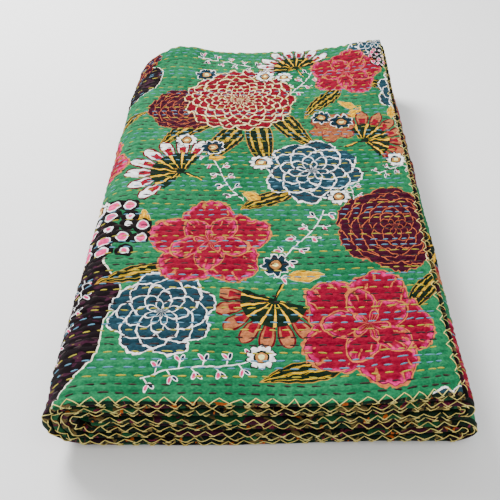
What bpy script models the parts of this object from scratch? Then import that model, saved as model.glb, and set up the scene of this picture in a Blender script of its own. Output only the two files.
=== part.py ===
"""A twin kantha quilt, folded for a shelf: one solid of its true folded layers.

The quilt is doubled across its width, with the fold at the back (+Y) and both long hems at the
front (-Y). The doubled cloth is then laid up in five layers across X: the top one runs left and
wraps round the whole stack, and the others lie back and forth inside that wrap. Units are metres,
+Z is up, and the origin is under the middle of the stack, on the surface it lies on.
"""

import math
from collections import namedtuple

import bmesh
import bpy

# The quilt, flat
QUILT_LENGTH = 2.286
QUILT_WIDTH = 1.524

# The cloth and how closely it lies
PLY = 0.0072
SLOT = 0.0024
LAYER_GAP = 0.0024
STRIP = 2 * PLY + SLOT
PITCH = STRIP + LAYER_GAP
LAYERS = 5
STACK_HEIGHT = LAYERS * PITCH - LAYER_GAP

# Where the short hems end
TOP_HEM_REACH = 0.004
TOP_PLY_SETBACK = 0.009
INNER_HEM_SETBACK = 0.006
HEM_ROLL = 0.35 * PLY
HEM_THIN = 0.5

# Running-stitch rows, whose channels show on the top layer and its wrap
ROW_SPACING = 0.0105
ROW_DEPTH = 0.0009
ROW_EDGE_MARGIN = 0.012

# How finely the solid is cut
RUN_STEPS = 9
ARC_STEP_DEGREES = {2.0: 22.5, 1.0: 30.0, 0.5: 36.0}
COARSE_DEPTH_STEPS = 7
BACK_FOLD_STEPS = 4

# A soft swelling of the whole stack: its centre and reach as shares of the half width and half
# depth, and its rise at the top of the stack
Swell = namedtuple("Swell", "where x y reach_x reach_y rise")
SWELLS = [
    Swell("left of the back fold", -0.63, 0.98, 0.20, 0.22, 0.011),
    Swell("right end of the back fold", 1.00, 1.00, 0.46, 0.30, 0.024),
    Swell("right end of the front hems", 0.95, -1.00, 0.36, 0.20, 0.010),
    Swell("left end of the front hems", -0.74, -1.00, 0.16, 0.18, 0.003),
    Swell("middle of the stack", 0.05, 0.30, 0.60, 0.75, -0.005),
    Swell("middle of the front hems", 0.10, -1.00, 0.50, 0.30, -0.003),
]

# How far the right end of the stack moves at each height, at the front and at the back, and how
# far it bows out between the two
Reach = namedtuple("Reach", "where height front back")
REACHES = [
    Reach("bottom", 0.0, -0.004, 0.000),
    Reach("lower right fold", 0.5 * PITCH + 0.5 * STRIP, 0.002, -0.002),
    Reach("upper right fold", 2.5 * PITCH + 0.5 * STRIP, -0.011, -0.005),
    Reach("top hem", STACK_HEIGHT, -0.014, -0.001),
]
REACH_START = 0.55
SIDE_BOW = 0.0035

# The stack is a little out of square: its right side lies further back, and its back left corner
# is drawn in
SKEW = 0.014
CORNER_PULL = 0.026
CORNER_PULL_ACROSS = 0.004
CORNER_START = 0.67

# How far each run's two long hems stand back from the front, in path order
Recess = namedtuple("Recess", "run upper lower")
RECESSES = [
    Recess("top", 0.0000, 0.0040),
    Recess("bottom", 0.0030, 0.0010),
    Recess("second from bottom", 0.0045, 0.0015),
    Recess("second from top", 0.0050, 0.0025),
    Recess("middle", 0.0015, 0.0055),
]
HEM_WANDER = 0.0012
HEM_WANDER_LENGTH = 0.33
HEM_WANDER_TURN_EACH_RUN = 1.9
HEM_WANDER_TURN_LOWER_PLY = 2.4

# Soft waves that press the layers together in places, strongest at the front
WAVE_HEIGHT = 0.0022
WAVE_LENGTH = 0.31
WAVE_LAYERS = 0.060
WAVE_DEPTH = 0.30
WAVE_SHARE_EVERYWHERE = 0.35
WAVE_LOST_AT_TOP = 0.6

QUILT_GREEN = (0.045, 0.36, 0.15, 1.0)

Station = namedtuple("Station", "x z nx nz run setback thin fine")
# A spot of the section: its place, the place of its ply's middle, and 0 on the upper ply to 1 on
# the lower
Spot = namedtuple("Spot", "y n middle_y middle_n ply")


def clear_scene():
    """Remove what the file starts with."""
    for item in list(bpy.data.objects):
        bpy.data.objects.remove(item, do_unlink=True)


def blend(a, b, share):
    """The value at this share of the way from a to b."""
    return a + (b - a) * share


def smooth(share):
    """A share from 0 to 1 eased at both ends."""
    share = min(max(share, 0.0), 1.0)
    return share * share * (3 - 2 * share)


def reach_at(height, end):
    """How far the right end moves at this height. end is front or back."""
    for low, high in zip(REACHES, REACHES[1:]):
        if height <= high.height:
            share = (height - low.height) / (high.height - low.height)
            return blend(getattr(low, end), getattr(high, end), smooth(share))
    return getattr(REACHES[-1], end)


# ---- the fold across X -------------------------------------------------------------------------

BENDS_LENGTH = math.pi * PITCH * (2.0 + 1.0 + 0.5 + 0.5)
RUN_LENGTH = (
    QUILT_LENGTH - BENDS_LENGTH - TOP_HEM_REACH + INNER_HEM_SETBACK
) / LAYERS


def straight(level, start, end, heading, run, fine=False):
    """Stations along one straight run at a layer's level. heading is -1 to the left, 1 to the right."""
    z = 0.5 * STRIP + level * PITCH
    for step in range(RUN_STEPS + 1):
        x = blend(start, end, step / RUN_STEPS)
        yield Station(x, z, 0.0, -float(heading), run, 0.0, 1.0, fine)


def bend(centre_x, centre_level, radius, start_degrees, turn_degrees, runs, fine=False):
    """Stations round one bend, without the two that end its straight runs."""
    centre_z = 0.5 * STRIP + centre_level * PITCH
    steps = round(abs(turn_degrees) / ARC_STEP_DEGREES[radius])
    outward = 1.0 if turn_degrees > 0 else -1.0
    for step in range(1, steps):
        share = step / steps
        angle = math.radians(start_degrees + turn_degrees * share)
        x = centre_x + radius * PITCH * math.cos(angle)
        z = centre_z + radius * PITCH * math.sin(angle)
        yield Station(
            x,
            z,
            outward * math.cos(angle),
            outward * math.sin(angle),
            blend(runs[0], runs[1], share),
            0.0,
            1.0,
            fine,
        )


def fold_route():
    """Every station of the doubled cloth, from the hem of the top layer to the hem inside."""
    left, right = 0.0, RUN_LENGTH
    hem = right + TOP_HEM_REACH
    route = [
        Station(hem + HEM_ROLL, 0.5 * STRIP + 4 * PITCH, 0.0, 1.0, 0.0, 1.0, HEM_THIN, True)
    ]
    top = list(straight(4, hem, left, -1, 0.0, fine=True))
    route.append(top[0]._replace(setback=1.0))
    route += top[1:]
    route += bend(left, 2, 2.0, 90, 180, (0.0, 1.0), fine=True)
    route += straight(0, left, right, 1, 1.0)
    route += bend(right, 0.5, 0.5, -90, 180, (1.0, 2.0))
    route += straight(1, right, left, -1, 2.0)
    route += bend(left, 2, 1.0, -90, -180, (2.0, 3.0))
    route += straight(3, left, right, 1, 3.0)
    route += bend(right, 2.5, 0.5, 90, -180, (3.0, 4.0))
    inner = left + INNER_HEM_SETBACK
    route += straight(2, right, inner, -1, 4.0)
    route.append(route[-1]._replace(x=inner - HEM_ROLL, thin=HEM_THIN))
    return route


# ---- the doubled cloth's cross-section ---------------------------------------------------------

PLY_CENTRE = 0.5 * (PLY + SLOT)
OUTER_FACE = PLY_CENTRE + 0.5 * PLY
INNER_FACE = PLY_CENTRE - 0.5 * PLY
DEPTH_STRAIGHT = 0.5 * (QUILT_WIDTH - math.pi * PLY_CENTRE)
ROWS = int((DEPTH_STRAIGHT - ROW_EDGE_MARGIN) / ROW_SPACING)


def face_spot(y, n):
    """A spot on a flat stretch of the upper ply, whose n is above 0, or of the lower one."""
    upper = n > 0
    return Spot(y, n, y, PLY_CENTRE if upper else -PLY_CENTRE, 0.0 if upper else 1.0)


def fold_spot(radius, share):
    """A spot round the back fold, where the upper ply turns into the lower one."""
    angle = math.pi * (0.5 - share)
    along, up = math.cos(angle), math.sin(angle)
    return Spot(
        DEPTH_STRAIGHT + radius * along,
        radius * up,
        DEPTH_STRAIGHT + PLY_CENTRE * along,
        PLY_CENTRE * up,
        share,
    )


def face_line(first, last, n):
    """Evenly spaced spots along one flat face."""
    steps = COARSE_DEPTH_STEPS
    return [face_spot(blend(first, last, step / steps), n) for step in range(steps + 1)]


def hem_roll(side, faces):
    """The two spots that round off one ply's long hem, in the order of its faces."""
    return [face_spot(-HEM_ROLL, side * blend(PLY_CENTRE, face, HEM_THIN)) for face in faces]


def section_rest():
    """The outline from the back end of the top face, round underneath, to its front end."""
    back, front = DEPTH_STRAIGHT, 0.0
    spots = [face_spot(back, OUTER_FACE)]
    spots += [fold_spot(OUTER_FACE, step / BACK_FOLD_STEPS) for step in range(1, BACK_FOLD_STEPS)]
    spots += face_line(back, front, -OUTER_FACE)
    spots += hem_roll(-1, (OUTER_FACE, INNER_FACE))
    spots += face_line(front, back, -INNER_FACE)
    spots.append(fold_spot(INNER_FACE, 0.5))
    spots += face_line(back, front, INNER_FACE)
    spots += hem_roll(1, (INNER_FACE, OUTER_FACE))
    spots.append(face_spot(front, OUTER_FACE))
    return spots


def top_face_coarse():
    """The top face from front to back, plain."""
    return face_line(0.0, DEPTH_STRAIGHT, OUTER_FACE)


def top_face_quilted(depth):
    """The top face from front to back, puffed up between rows of running stitch this deep."""
    spots = [face_spot(0.0, OUTER_FACE)]
    first_row = DEPTH_STRAIGHT - ROWS * ROW_SPACING
    for row in range(ROWS):
        y = first_row + row * ROW_SPACING
        spots.append(face_spot(y, OUTER_FACE - 0.5 * depth))
        spots.append(face_spot(y + 0.5 * ROW_SPACING, OUTER_FACE + 0.5 * depth))
    spots.append(face_spot(DEPTH_STRAIGHT, OUTER_FACE))
    return spots


# ---- placing a spot of the section at a station ------------------------------------------------


def hem_recess(station, ply):
    """How far the long hem stands back from the front here, on the upper or lower ply."""
    low = int(min(math.floor(station.run), LAYERS - 2))
    share = smooth(station.run - low)
    upper = blend(RECESSES[low].upper, RECESSES[low + 1].upper, share)
    lower = blend(RECESSES[low].lower, RECESSES[low + 1].lower, share)
    turn = HEM_WANDER_TURN_EACH_RUN * station.run + HEM_WANDER_TURN_LOWER_PLY * ply
    wander = HEM_WANDER * math.sin(2 * math.pi * station.x / HEM_WANDER_LENGTH + turn)
    return blend(upper, lower, ply) + HEM_WANDER + wander


def laid(station, spot):
    """Put one spot of the section on the plain folded stack."""
    n = blend(spot.middle_n, spot.n, station.thin)
    plain_y = blend(spot.middle_y, spot.y, station.thin)
    x = station.x + n * station.nx - station.setback * TOP_PLY_SETBACK * (1.0 - spot.ply)
    z = station.z + n * station.nz
    front_share = max(1.0 - plain_y / DEPTH_STRAIGHT, 0.0)
    y = plain_y + hem_recess(station, spot.ply) * front_share**2
    return [x, y, z]


STACK_LEFT = -(2 * PITCH + OUTER_FACE)
STACK_RIGHT = RUN_LENGTH + 0.5 * PITCH + OUTER_FACE
HALF_WIDTH = 0.5 * (STACK_RIGHT - STACK_LEFT)
HALF_DEPTH = 0.5 * (DEPTH_STRAIGHT + OUTER_FACE)


def settled(point):
    """Move a point of the plain stack to where the uneven one holds it. The floor stays flat."""
    x = point[0] - STACK_LEFT - HALF_WIDTH
    y = point[1] - HALF_DEPTH
    z = point[2]
    across, along = x / HALF_WIDTH, y / HALF_DEPTH
    height_share = z / STACK_HEIGHT

    right_share = smooth((across - REACH_START) / (1.0 - REACH_START))
    back_share = smooth(0.5 * (along + 1.0))
    reach = blend(reach_at(z, "front"), reach_at(z, "back"), back_share)
    reach += SIDE_BOW * max(1.0 - along * along, 0.0)

    swell = 0.0
    for row in SWELLS:
        offset_x = (across - row.x) / row.reach_x
        offset_y = (along - row.y) / row.reach_y
        swell += row.rise * math.exp(-offset_x * offset_x - offset_y * offset_y)
    near_front = math.exp(-(along + 1.0) * HALF_DEPTH / WAVE_DEPTH)
    wave = WAVE_HEIGHT * blend(near_front, 1.0, WAVE_SHARE_EVERYWHERE)
    wave *= math.sin(2 * math.pi * (x / WAVE_LENGTH + z / WAVE_LAYERS))
    rise = swell + wave * (1.0 - WAVE_LOST_AT_TOP * height_share)

    corner = smooth((-across - CORNER_START) / (1.0 - CORNER_START))
    corner *= smooth((along - CORNER_START) / (1.0 - CORNER_START))
    return [
        x + reach * right_share + CORNER_PULL_ACROSS * corner,
        y + 0.5 * SKEW * across - CORNER_PULL * corner,
        z + rise * height_share,
    ]


# ---- the solid ---------------------------------------------------------------------------------


def join_rows(faces, one, two):
    """Fill between two rows of vertices that follow the same line at different spacings."""
    if len(one) == len(two):
        for k in range(len(one) - 1):
            faces.append((one[k], one[k + 1], two[k + 1], two[k]))
        return
    i = j = 0
    while i < len(one) - 1 or j < len(two) - 1:
        next_one = (i + 1) / (len(one) - 1)
        next_two = (j + 1) / (len(two) - 1)
        if j == len(two) - 1 or (i < len(one) - 1 and next_one <= next_two):
            faces.append((one[i], one[i + 1], two[j]))
            i += 1
        else:
            faces.append((one[i], two[j + 1], two[j]))
            j += 1


def build_cloth():
    """The quilt's one closed surface: its section swept along the fold route."""
    rest, coarse = section_rest(), top_face_coarse()
    quilted, unquilted = top_face_quilted(ROW_DEPTH), top_face_quilted(0.0)
    points, tops, rests = [], [], []
    route = fold_route()

    def add(station, spots):
        first = len(points)
        points.extend(laid(station, spot) for spot in spots)
        return list(range(first, len(points)))

    for index, station in enumerate(route):
        around = add(station, rest)
        top = coarse
        if station.fine:
            inside_rows = route[index - 1].fine and route[index + 1].fine
            top = quilted if inside_rows else unquilted
        tops.append([around[-1], *add(station, top[1:-1]), around[0]])
        rests.append(around)

    faces = []
    for k in range(len(route) - 1):
        join_rows(faces, rests[k], rests[k + 1])
        join_rows(faces, tops[k], tops[k + 1])
    faces.append(tuple(tops[0][:-1] + rests[0][:-1]))
    faces.append(tuple(reversed(tops[-1][:-1] + rests[-1][:-1])))

    points = [settled(point) for point in points]
    middle_x, middle_y = (
        0.5 * (min(p[axis] for p in points) + max(p[axis] for p in points)) for axis in (0, 1)
    )
    return [(x - middle_x, y - middle_y, z) for x, y, z in points], faces


def cloth_material():
    """Dense printed cotton, mostly sea green."""
    material = bpy.data.materials.new("quilted_cotton")
    material.use_nodes = True
    shader = material.node_tree.nodes["Principled BSDF"]
    shader.inputs["Base Color"].default_value = QUILT_GREEN
    shader.inputs["Roughness"].default_value = 0.9
    shader.inputs["Metallic"].default_value = 0.0
    return material


def make_quilt(collection):
    """The folded quilt as one object."""
    mesh = bpy.data.meshes.new("folded_quilt")
    points, faces = build_cloth()
    mesh.from_pydata(points, [], faces)
    shell = bmesh.new()
    shell.from_mesh(mesh)
    bmesh.ops.triangulate(shell, faces=shell.faces[:], ngon_method="EAR_CLIP")
    bmesh.ops.recalc_face_normals(shell, faces=shell.faces[:])
    shell.to_mesh(mesh)
    shell.free()
    mesh.shade_smooth()
    mesh.materials.append(cloth_material())
    quilt = bpy.data.objects.new("folded_quilt", mesh)
    collection.objects.link(quilt)
    return quilt


def main():
    clear_scene()
    collection = bpy.data.collections.new("kantha_quilt")
    bpy.context.scene.collection.children.link(collection)
    make_quilt(collection)


main()
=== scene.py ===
"""Dress the folded kantha quilt: its cloth, its print, its running stitch and its hem thread.

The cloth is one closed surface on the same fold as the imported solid, only finer. Every other
piece is placed with the same fold functions. Units are metres, +Z is up.
"""

from __future__ import annotations

import logging
import math
from dataclasses import dataclass, field
from enum import Enum
from functools import partialmethod

import bmesh
import bpy
import numpy as np
from bpy.types import ID, Material, Mesh, Node, NodeSocket, NodeTree, Object, bpy_prop_collection
from mathutils import Matrix, Vector


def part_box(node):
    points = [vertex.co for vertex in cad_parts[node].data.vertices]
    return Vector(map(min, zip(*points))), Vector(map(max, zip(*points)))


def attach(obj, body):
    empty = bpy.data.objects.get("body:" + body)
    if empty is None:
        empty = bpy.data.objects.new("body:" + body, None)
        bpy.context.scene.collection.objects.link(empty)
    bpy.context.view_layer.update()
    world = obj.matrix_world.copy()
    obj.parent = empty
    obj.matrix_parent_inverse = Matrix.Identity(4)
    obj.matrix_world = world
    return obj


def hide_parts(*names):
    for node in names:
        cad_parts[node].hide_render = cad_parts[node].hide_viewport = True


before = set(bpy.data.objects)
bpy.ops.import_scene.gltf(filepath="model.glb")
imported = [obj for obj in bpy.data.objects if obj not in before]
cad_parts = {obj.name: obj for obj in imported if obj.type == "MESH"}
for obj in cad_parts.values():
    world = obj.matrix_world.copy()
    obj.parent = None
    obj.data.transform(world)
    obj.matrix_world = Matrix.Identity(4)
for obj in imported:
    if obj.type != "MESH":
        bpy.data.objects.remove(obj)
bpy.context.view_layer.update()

LOG = logging.getLogger("kantha_quilt")
NODE = "folded_quilt"
FLAT_SIZE = (1.524, 2.286)

TINY = 1e-9

Values = float | np.ndarray


def ease(share: np.ndarray) -> np.ndarray:
    """Ease a share from 0 to 1 at both ends."""
    share = np.clip(share, 0.0, 1.0)
    return share * share * (3 - 2 * share)


def blend(a: Values, b: Values, share: Values) -> Values:
    """The value at this share of the way from a to b."""
    return a + (b - a) * share


def add_object(name: str, data: ID) -> Object:
    """Put data in the scene.

    Args:
        name: The object's name.
        data: Its mesh, light or camera.

    Returns:
        The object.
    """
    made = bpy.data.objects.new(name, data)
    bpy.context.scene.collection.objects.link(made)
    return made


def store(mesh: Mesh, name: str, domain: str, values: np.ndarray) -> None:
    """Keep an array on a mesh as an attribute.

    Args:
        mesh: The mesh.
        name: The attribute's name.
        domain: POINT or CORNER.
        values: One number for each item, or a row of three.
    """
    kind, label = ("FLOAT_VECTOR", "vector") if values.ndim == 2 else ("FLOAT", "value")
    made = mesh.attributes.new(name, kind, domain)
    made.data.foreach_set(label, values.astype(np.float32).ravel())


def fetch(items: bpy_prop_collection, name: str, kind: type, width: int = 1) -> np.ndarray:
    """Read one property of every item of a mesh.

    Args:
        items: The mesh's vertices, corners, faces or an attribute's data.
        name: The property.
        kind: The array's type.
        width: How many numbers each item has.

    Returns:
        The numbers in one row.
    """
    values = np.empty(len(items) * width, dtype=kind)
    items.foreach_get(name, values)
    return values


@dataclass(frozen=True)
class Ripple:
    """Soft seeded unevenness: a sum of plane waves over the flat cloth.

    Attributes:
        seed: Seed of the waves' directions and phases.
        shortest: Shortest wavelength, in metres.
        longest: Longest wavelength, in metres.
        stretch: How many times longer the waves are along the rows than across them.
        waves: How many waves are added.
        peak: The waves' usual peak, which becomes 1.
    """

    seed: int
    shortest: float
    longest: float
    stretch: float = 1.0
    waves: int = 18
    peak: float = 1.6

    def at(self, u: np.ndarray, v: np.ndarray) -> np.ndarray:
        """Height of the unevenness, about -1 to 1.

        Args:
            u: Place along the quilt's length.
            v: Place across its width.

        Returns:
            One height for each place.
        """
        rng = np.random.default_rng(self.seed)
        total = np.zeros(np.broadcast(u, v).shape)
        for _ in range(self.waves):
            length = math.exp(rng.uniform(math.log(self.shortest), math.log(self.longest)))
            turn = rng.uniform(0, 2 * math.pi)
            phase = rng.uniform(0, 2 * math.pi)
            along = math.cos(turn) / (length * self.stretch)
            across = math.sin(turn) / length
            total += np.sin(2 * math.pi * (u * along + v * across) + phase)
        return total / math.sqrt(self.waves / 2) / self.peak


# ---- the fold ----


@dataclass(frozen=True)
class Swell:
    """A soft swelling of the stack, in shares of its half width and half depth."""

    x: float
    y: float
    reach_x: float
    reach_y: float
    rise: float


@dataclass(frozen=True)
class Leg:
    """One straight run or one bend of the fold route.

    Attributes:
        length: Its length along the cloth.
        x: Where it starts (a run) or its centre (a bend).
        level: The layer it lies on, or the bend's centre in layers.
        heading: -1 or 1 for a run, 0 for a bend.
        radius: A bend's radius in layers.
        start: A bend's first angle, in degrees.
        turn: How far a bend turns, in degrees.
        runs: The run numbers at its two ends.
    """

    length: float
    x: float
    level: float
    heading: float = 0.0
    radius: float = 0.0
    start: float = 0.0
    turn: float = 0.0
    runs: tuple[float, float] = (0.0, 0.0)


@dataclass
class Spots:
    """Places of the doubled cloth's cross-section, one array item for each.

    Attributes:
        y: Distance from the front.
        n: Distance from the middle of the doubled cloth.
        middle_y: The same y for the middle of the ply.
        middle_n: The same n for the middle of the ply.
        ply: 0 on the upper ply to 1 on the lower.
        v: Place across the flat cloth.
        inside: 1 on the faces between the two plies.
    """

    y: np.ndarray
    n: np.ndarray
    middle_y: np.ndarray
    middle_n: np.ndarray
    ply: np.ndarray
    v: np.ndarray
    inside: np.ndarray

    def __len__(self) -> int:
        """How many spots there are."""
        return len(self.y)


@dataclass
class Fold:
    """The folded stack's sizes, and where each spot of the flat cloth lies in it."""

    ply: float = 0.0072
    slot: float = 0.0024
    layer_gap: float = 0.0024
    layers: int = 5
    top_hem_reach: float = 0.004
    top_ply_setback: float = 0.009
    inner_hem_setback: float = 0.006
    setback_fade: float = 0.0459
    roll: float = 0.00252
    row_spacing: float = 0.0105
    row_edge_margin: float = 0.012
    swells: tuple[Swell, ...] = (
        Swell(-0.63, 0.98, 0.20, 0.22, 0.011),
        Swell(1.00, 1.00, 0.46, 0.30, 0.024),
        Swell(0.95, -1.00, 0.36, 0.20, 0.010),
        Swell(-0.74, -1.00, 0.16, 0.18, 0.003),
        Swell(0.05, 0.30, 0.60, 0.75, -0.005),
        Swell(0.10, -1.00, 0.50, 0.30, -0.003),
    )
    front_reach: tuple[float, ...] = (-0.004, 0.002, -0.011, -0.014)
    back_reach: tuple[float, ...] = (0.000, -0.002, -0.005, -0.001)
    upper_setbacks: tuple[float, ...] = (0.0000, 0.0030, 0.0045, 0.0050, 0.0015)
    lower_setbacks: tuple[float, ...] = (0.0040, 0.0010, 0.0015, 0.0025, 0.0055)
    skew: float = 0.014
    corner_pull: float = 0.026
    corner_pull_across: float = 0.004
    corner_start: float = 0.67
    reach_start: float = 0.55
    side_bow: float = 0.0035
    hem_wander: float = 0.0012
    hem_wander_length: float = 0.33
    hem_wander_turns: tuple[float, float] = (1.9, 2.4)
    wave_height: float = 0.0022
    wave_length: float = 0.31
    wave_layers: float = 0.060
    wave_depth: float = 0.30
    wave_back_share: float = 0.35
    wave_top_loss: float = 0.6
    hem_pinch: float = 0.0005
    hem_pinch_length: float = 0.018
    hem_pinch_turn: float = 3.1
    hem_pinch_reach: float = 0.006
    roll_taper: float = 0.93
    offset: np.ndarray = field(default_factory=lambda: np.zeros(3))

    def __post_init__(self) -> None:
        """Work out the sizes that follow from the others."""
        self.strip = 2 * self.ply + self.slot
        self.pitch = self.strip + self.layer_gap
        self.height = self.layers * self.pitch - self.layer_gap
        self.levels = (
            0.0,
            0.5 * self.pitch + 0.5 * self.strip,
            2.5 * self.pitch + 0.5 * self.strip,
            self.height,
        )
        self.ply_centre = 0.5 * (self.ply + self.slot)
        self.outer = self.ply_centre + 0.5 * self.ply
        self.inner = self.ply_centre - 0.5 * self.ply
        width, length = FLAT_SIZE
        self.depth = 0.5 * (width - math.pi * self.ply_centre)
        self.rows = int((self.depth - self.row_edge_margin) / self.row_spacing) + 1
        self.first_row = self.depth - self.rows * self.row_spacing
        bends = math.pi * self.pitch * 4.0
        spare = self.inner_hem_setback - self.top_hem_reach
        self.run = (length - bends + spare) / self.layers
        self.half_width = 0.5 * (self.run + 2.5 * self.pitch + 2 * self.outer)
        self.left = -(2 * self.pitch + self.outer)
        self.half_depth = 0.5 * (self.depth + self.outer)
        right, hem = self.run, self.run + self.top_hem_reach
        last = right - self.inner_hem_setback
        arc = math.pi * self.pitch
        self.legs = [
            Leg(hem, hem, 4, heading=-1, runs=(0, 0)),
            Leg(2 * arc, 0.0, 2.0, radius=2.0, start=90, turn=180, runs=(0, 1)),
            Leg(right, 0.0, 0, heading=1, runs=(1, 1)),
            Leg(0.5 * arc, right, 0.5, radius=0.5, start=-90, turn=180, runs=(1, 2)),
            Leg(right, right, 1, heading=-1, runs=(2, 2)),
            Leg(arc, 0.0, 2.0, radius=1.0, start=-90, turn=-180, runs=(2, 3)),
            Leg(right, 0.0, 3, heading=1, runs=(3, 3)),
            Leg(0.5 * arc, right, 2.5, radius=0.5, start=90, turn=-180, runs=(3, 4)),
            Leg(last, right, 2, heading=-1, runs=(4, 4)),
        ]
        self.starts = np.concatenate([[0.0], np.cumsum([leg.length for leg in self.legs])])

    def route(self, u: np.ndarray) -> dict[str, np.ndarray]:
        """Follow the fold route to each place along the quilt's length.

        Args:
            u: Places along the length. Those past either end lie on a short hem's roll.

        Returns:
            Arrays of x, z, the normal's x and z, the run, and how full the roll is.
        """
        u = np.asarray(u, dtype=float)
        length = FLAT_SIZE[1]
        inside = np.clip(u, 0.0, length)
        found = {key: np.zeros(u.shape) for key in ("x", "z", "nx", "nz", "run")}
        for index, leg in enumerate(self.legs):
            first, last = self.starts[index], self.starts[index + 1]
            here = (inside >= first - TINY) & (inside <= last + TINY)
            along = inside[here] - first
            share = along / leg.length
            if leg.heading:
                found["x"][here] = leg.x + leg.heading * along
                found["z"][here] = 0.5 * self.strip + leg.level * self.pitch
                found["nx"][here] = 0.0
                found["nz"][here] = -leg.heading
            else:
                angle = np.radians(leg.start + leg.turn * share)
                side = math.copysign(1.0, leg.turn)
                reach = leg.radius * self.pitch
                centre_z = 0.5 * self.strip + leg.level * self.pitch
                found["x"][here] = leg.x + reach * np.cos(angle)
                found["z"][here] = centre_z + reach * np.sin(angle)
                found["nx"][here] = side * np.cos(angle)
                found["nz"][here] = side * np.sin(angle)
            found["run"][here] = blend(leg.runs[0], leg.runs[1], share)
        before = np.maximum(-u, 0.0)
        after = np.maximum(u - length, 0.0)
        found["x"] += before - after
        past = np.clip((before + after) / self.roll, 0.0, 1.0)
        found["thin"] = np.sqrt(1.0 - self.roll_taper * past * past)
        found["setback"] = np.clip(1.0 - u / self.setback_fade, 0.0, 1.0)
        return found

    def recess(self, run: np.ndarray, x: np.ndarray, ply: np.ndarray) -> np.ndarray:
        """How far the long hem stands back from the front.

        Args:
            run: Run number, between runs on a bend.
            x: Place across the stack.
            ply: 0 on the upper ply to 1 on the lower.

        Returns:
            The setback in metres.
        """
        low = np.minimum(np.floor(run), self.layers - 2).astype(int)
        share = ease(run - low)
        upper, lower = (
            blend(steps[low], steps[low + 1], share)
            for steps in (np.array(self.upper_setbacks), np.array(self.lower_setbacks))
        )
        turn = self.hem_wander_turns[0] * run + self.hem_wander_turns[1] * ply
        wander = self.hem_wander * np.sin(2 * math.pi * x / self.hem_wander_length + turn)
        return blend(upper, lower, ply) + self.hem_wander + wander

    def eased(self, z: np.ndarray, values: tuple[float, ...]) -> np.ndarray:
        """A value that eases from level to level up the stack.

        Args:
            z: Heights.
            values: The value at each level.

        Returns:
            One value for each height.
        """
        total = np.full(z.shape, values[0])
        for low, high, before, after in zip(self.levels, self.levels[1:], values, values[1:]):
            total += (after - before) * ease((z - low) / (high - low))
        return total

    def settled(self, x: np.ndarray, y: np.ndarray, z: np.ndarray) -> np.ndarray:
        """Move points of the plain stack to where the uneven one holds them.

        Args:
            x: Across the plain stack.
            y: Along its depth.
            z: Height.

        Returns:
            The points.
        """
        x = x - self.left - self.half_width
        y = y - self.half_depth
        across, along = x / self.half_width, y / self.half_depth
        height_share = z / self.height
        front, back = (self.eased(z, values) for values in (self.front_reach, self.back_reach))
        reach = blend(front, back, ease(0.5 * (along + 1.0)))
        reach = reach + self.side_bow * np.maximum(1.0 - along * along, 0.0)
        right = ease((across - self.reach_start) / (1.0 - self.reach_start))
        swell = np.zeros(z.shape)
        for row in self.swells:
            swell += row.rise * np.exp(
                -(((across - row.x) / row.reach_x) ** 2) - ((along - row.y) / row.reach_y) ** 2
            )
        near = np.exp(-(along + 1.0) * self.half_depth / self.wave_depth)
        wave = self.wave_height * blend(near, 1.0, self.wave_back_share)
        wave = wave * np.sin(2 * math.pi * (x / self.wave_length + z / self.wave_layers))
        rise = swell + wave * (1.0 - self.wave_top_loss * height_share)
        corner = ease((-across - self.corner_start) / (1.0 - self.corner_start))
        corner = corner * ease((along - self.corner_start) / (1.0 - self.corner_start))
        return np.stack(
            [
                x + reach * right + self.corner_pull_across * corner,
                y + 0.5 * self.skew * across - self.corner_pull * corner,
                z + rise * height_share,
            ],
            axis=-1,
        )

    def place(self, u: np.ndarray, spots: Spots, lift: np.ndarray | float = 0.0) -> np.ndarray:
        """Put spots of the cross-section at places along the length.

        Args:
            u: Place along the length, one for each spot.
            spots: The spots.
            lift: How far to stand off the cloth's face.

        Returns:
            Points of the settled stack.
        """
        way = self.route(u)
        off_y, off_n = spots.y - spots.middle_y, spots.n - spots.middle_n
        size = np.maximum(np.hypot(off_y, off_n), TINY)
        lift_y, lift_n = lift * off_y / size, lift * off_n / size
        y = blend(spots.middle_y, spots.y, way["thin"]) + lift_y
        n = blend(spots.middle_n, spots.n, way["thin"]) + lift_n
        front = np.maximum(1.0 - y / self.depth, 0.0)
        turn = 2 * math.pi * u / self.hem_pinch_length + self.hem_pinch_turn * spots.ply
        near = np.exp(-np.maximum(y, 0.0) / self.hem_pinch_reach)
        n = n + self.hem_pinch * np.sin(turn) * near
        x = way["x"] + n * way["nx"] - way["setback"] * self.top_ply_setback * (1 - spots.ply)
        z = way["z"] + n * way["nz"]
        y = y + self.recess(way["run"], way["x"], spots.ply) * front**2
        points = self.settled(x, y, z) + self.offset
        points[..., 2] = np.maximum(points[..., 2], 0.0)
        return points

    # -- spots of the cross-section

    def faces(self, y: np.ndarray, side: int, face: float) -> Spots:
        """Spots on a flat stretch of one ply.

        Args:
            y: Distances from the front.
            side: 1 for the upper ply, -1 for the lower.
            face: The face's distance from the middle of the doubled cloth.

        Returns:
            The spots.
        """
        y = np.asarray(y, dtype=float)
        one = np.ones_like(y)
        v = y if side > 0 else FLAT_SIZE[0] - y
        within = 1.0 if face < self.ply_centre else 0.0
        return Spots(
            y, side * face * one, y, side * self.ply_centre * one,
            (0.0 if side > 0 else 1.0) * one, v, within * one,
        )

    def back_fold(self, share: np.ndarray, radius: float) -> Spots:
        """Spots round the back fold.

        Args:
            share: How far round each is, from 0 at the upper ply to 1 at the lower.
            radius: The fold's radius there.

        Returns:
            The spots.
        """
        share = np.asarray(share, dtype=float)
        angle = math.pi * (0.5 - share)
        along, up = np.cos(angle), np.sin(angle)
        within = 1.0 if radius < self.ply_centre else 0.0
        return Spots(
            self.depth + radius * along, radius * up,
            self.depth + self.ply_centre * along, self.ply_centre * up,
            share, self.depth + math.pi * self.ply_centre * share, within + 0 * share,
        )

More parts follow.
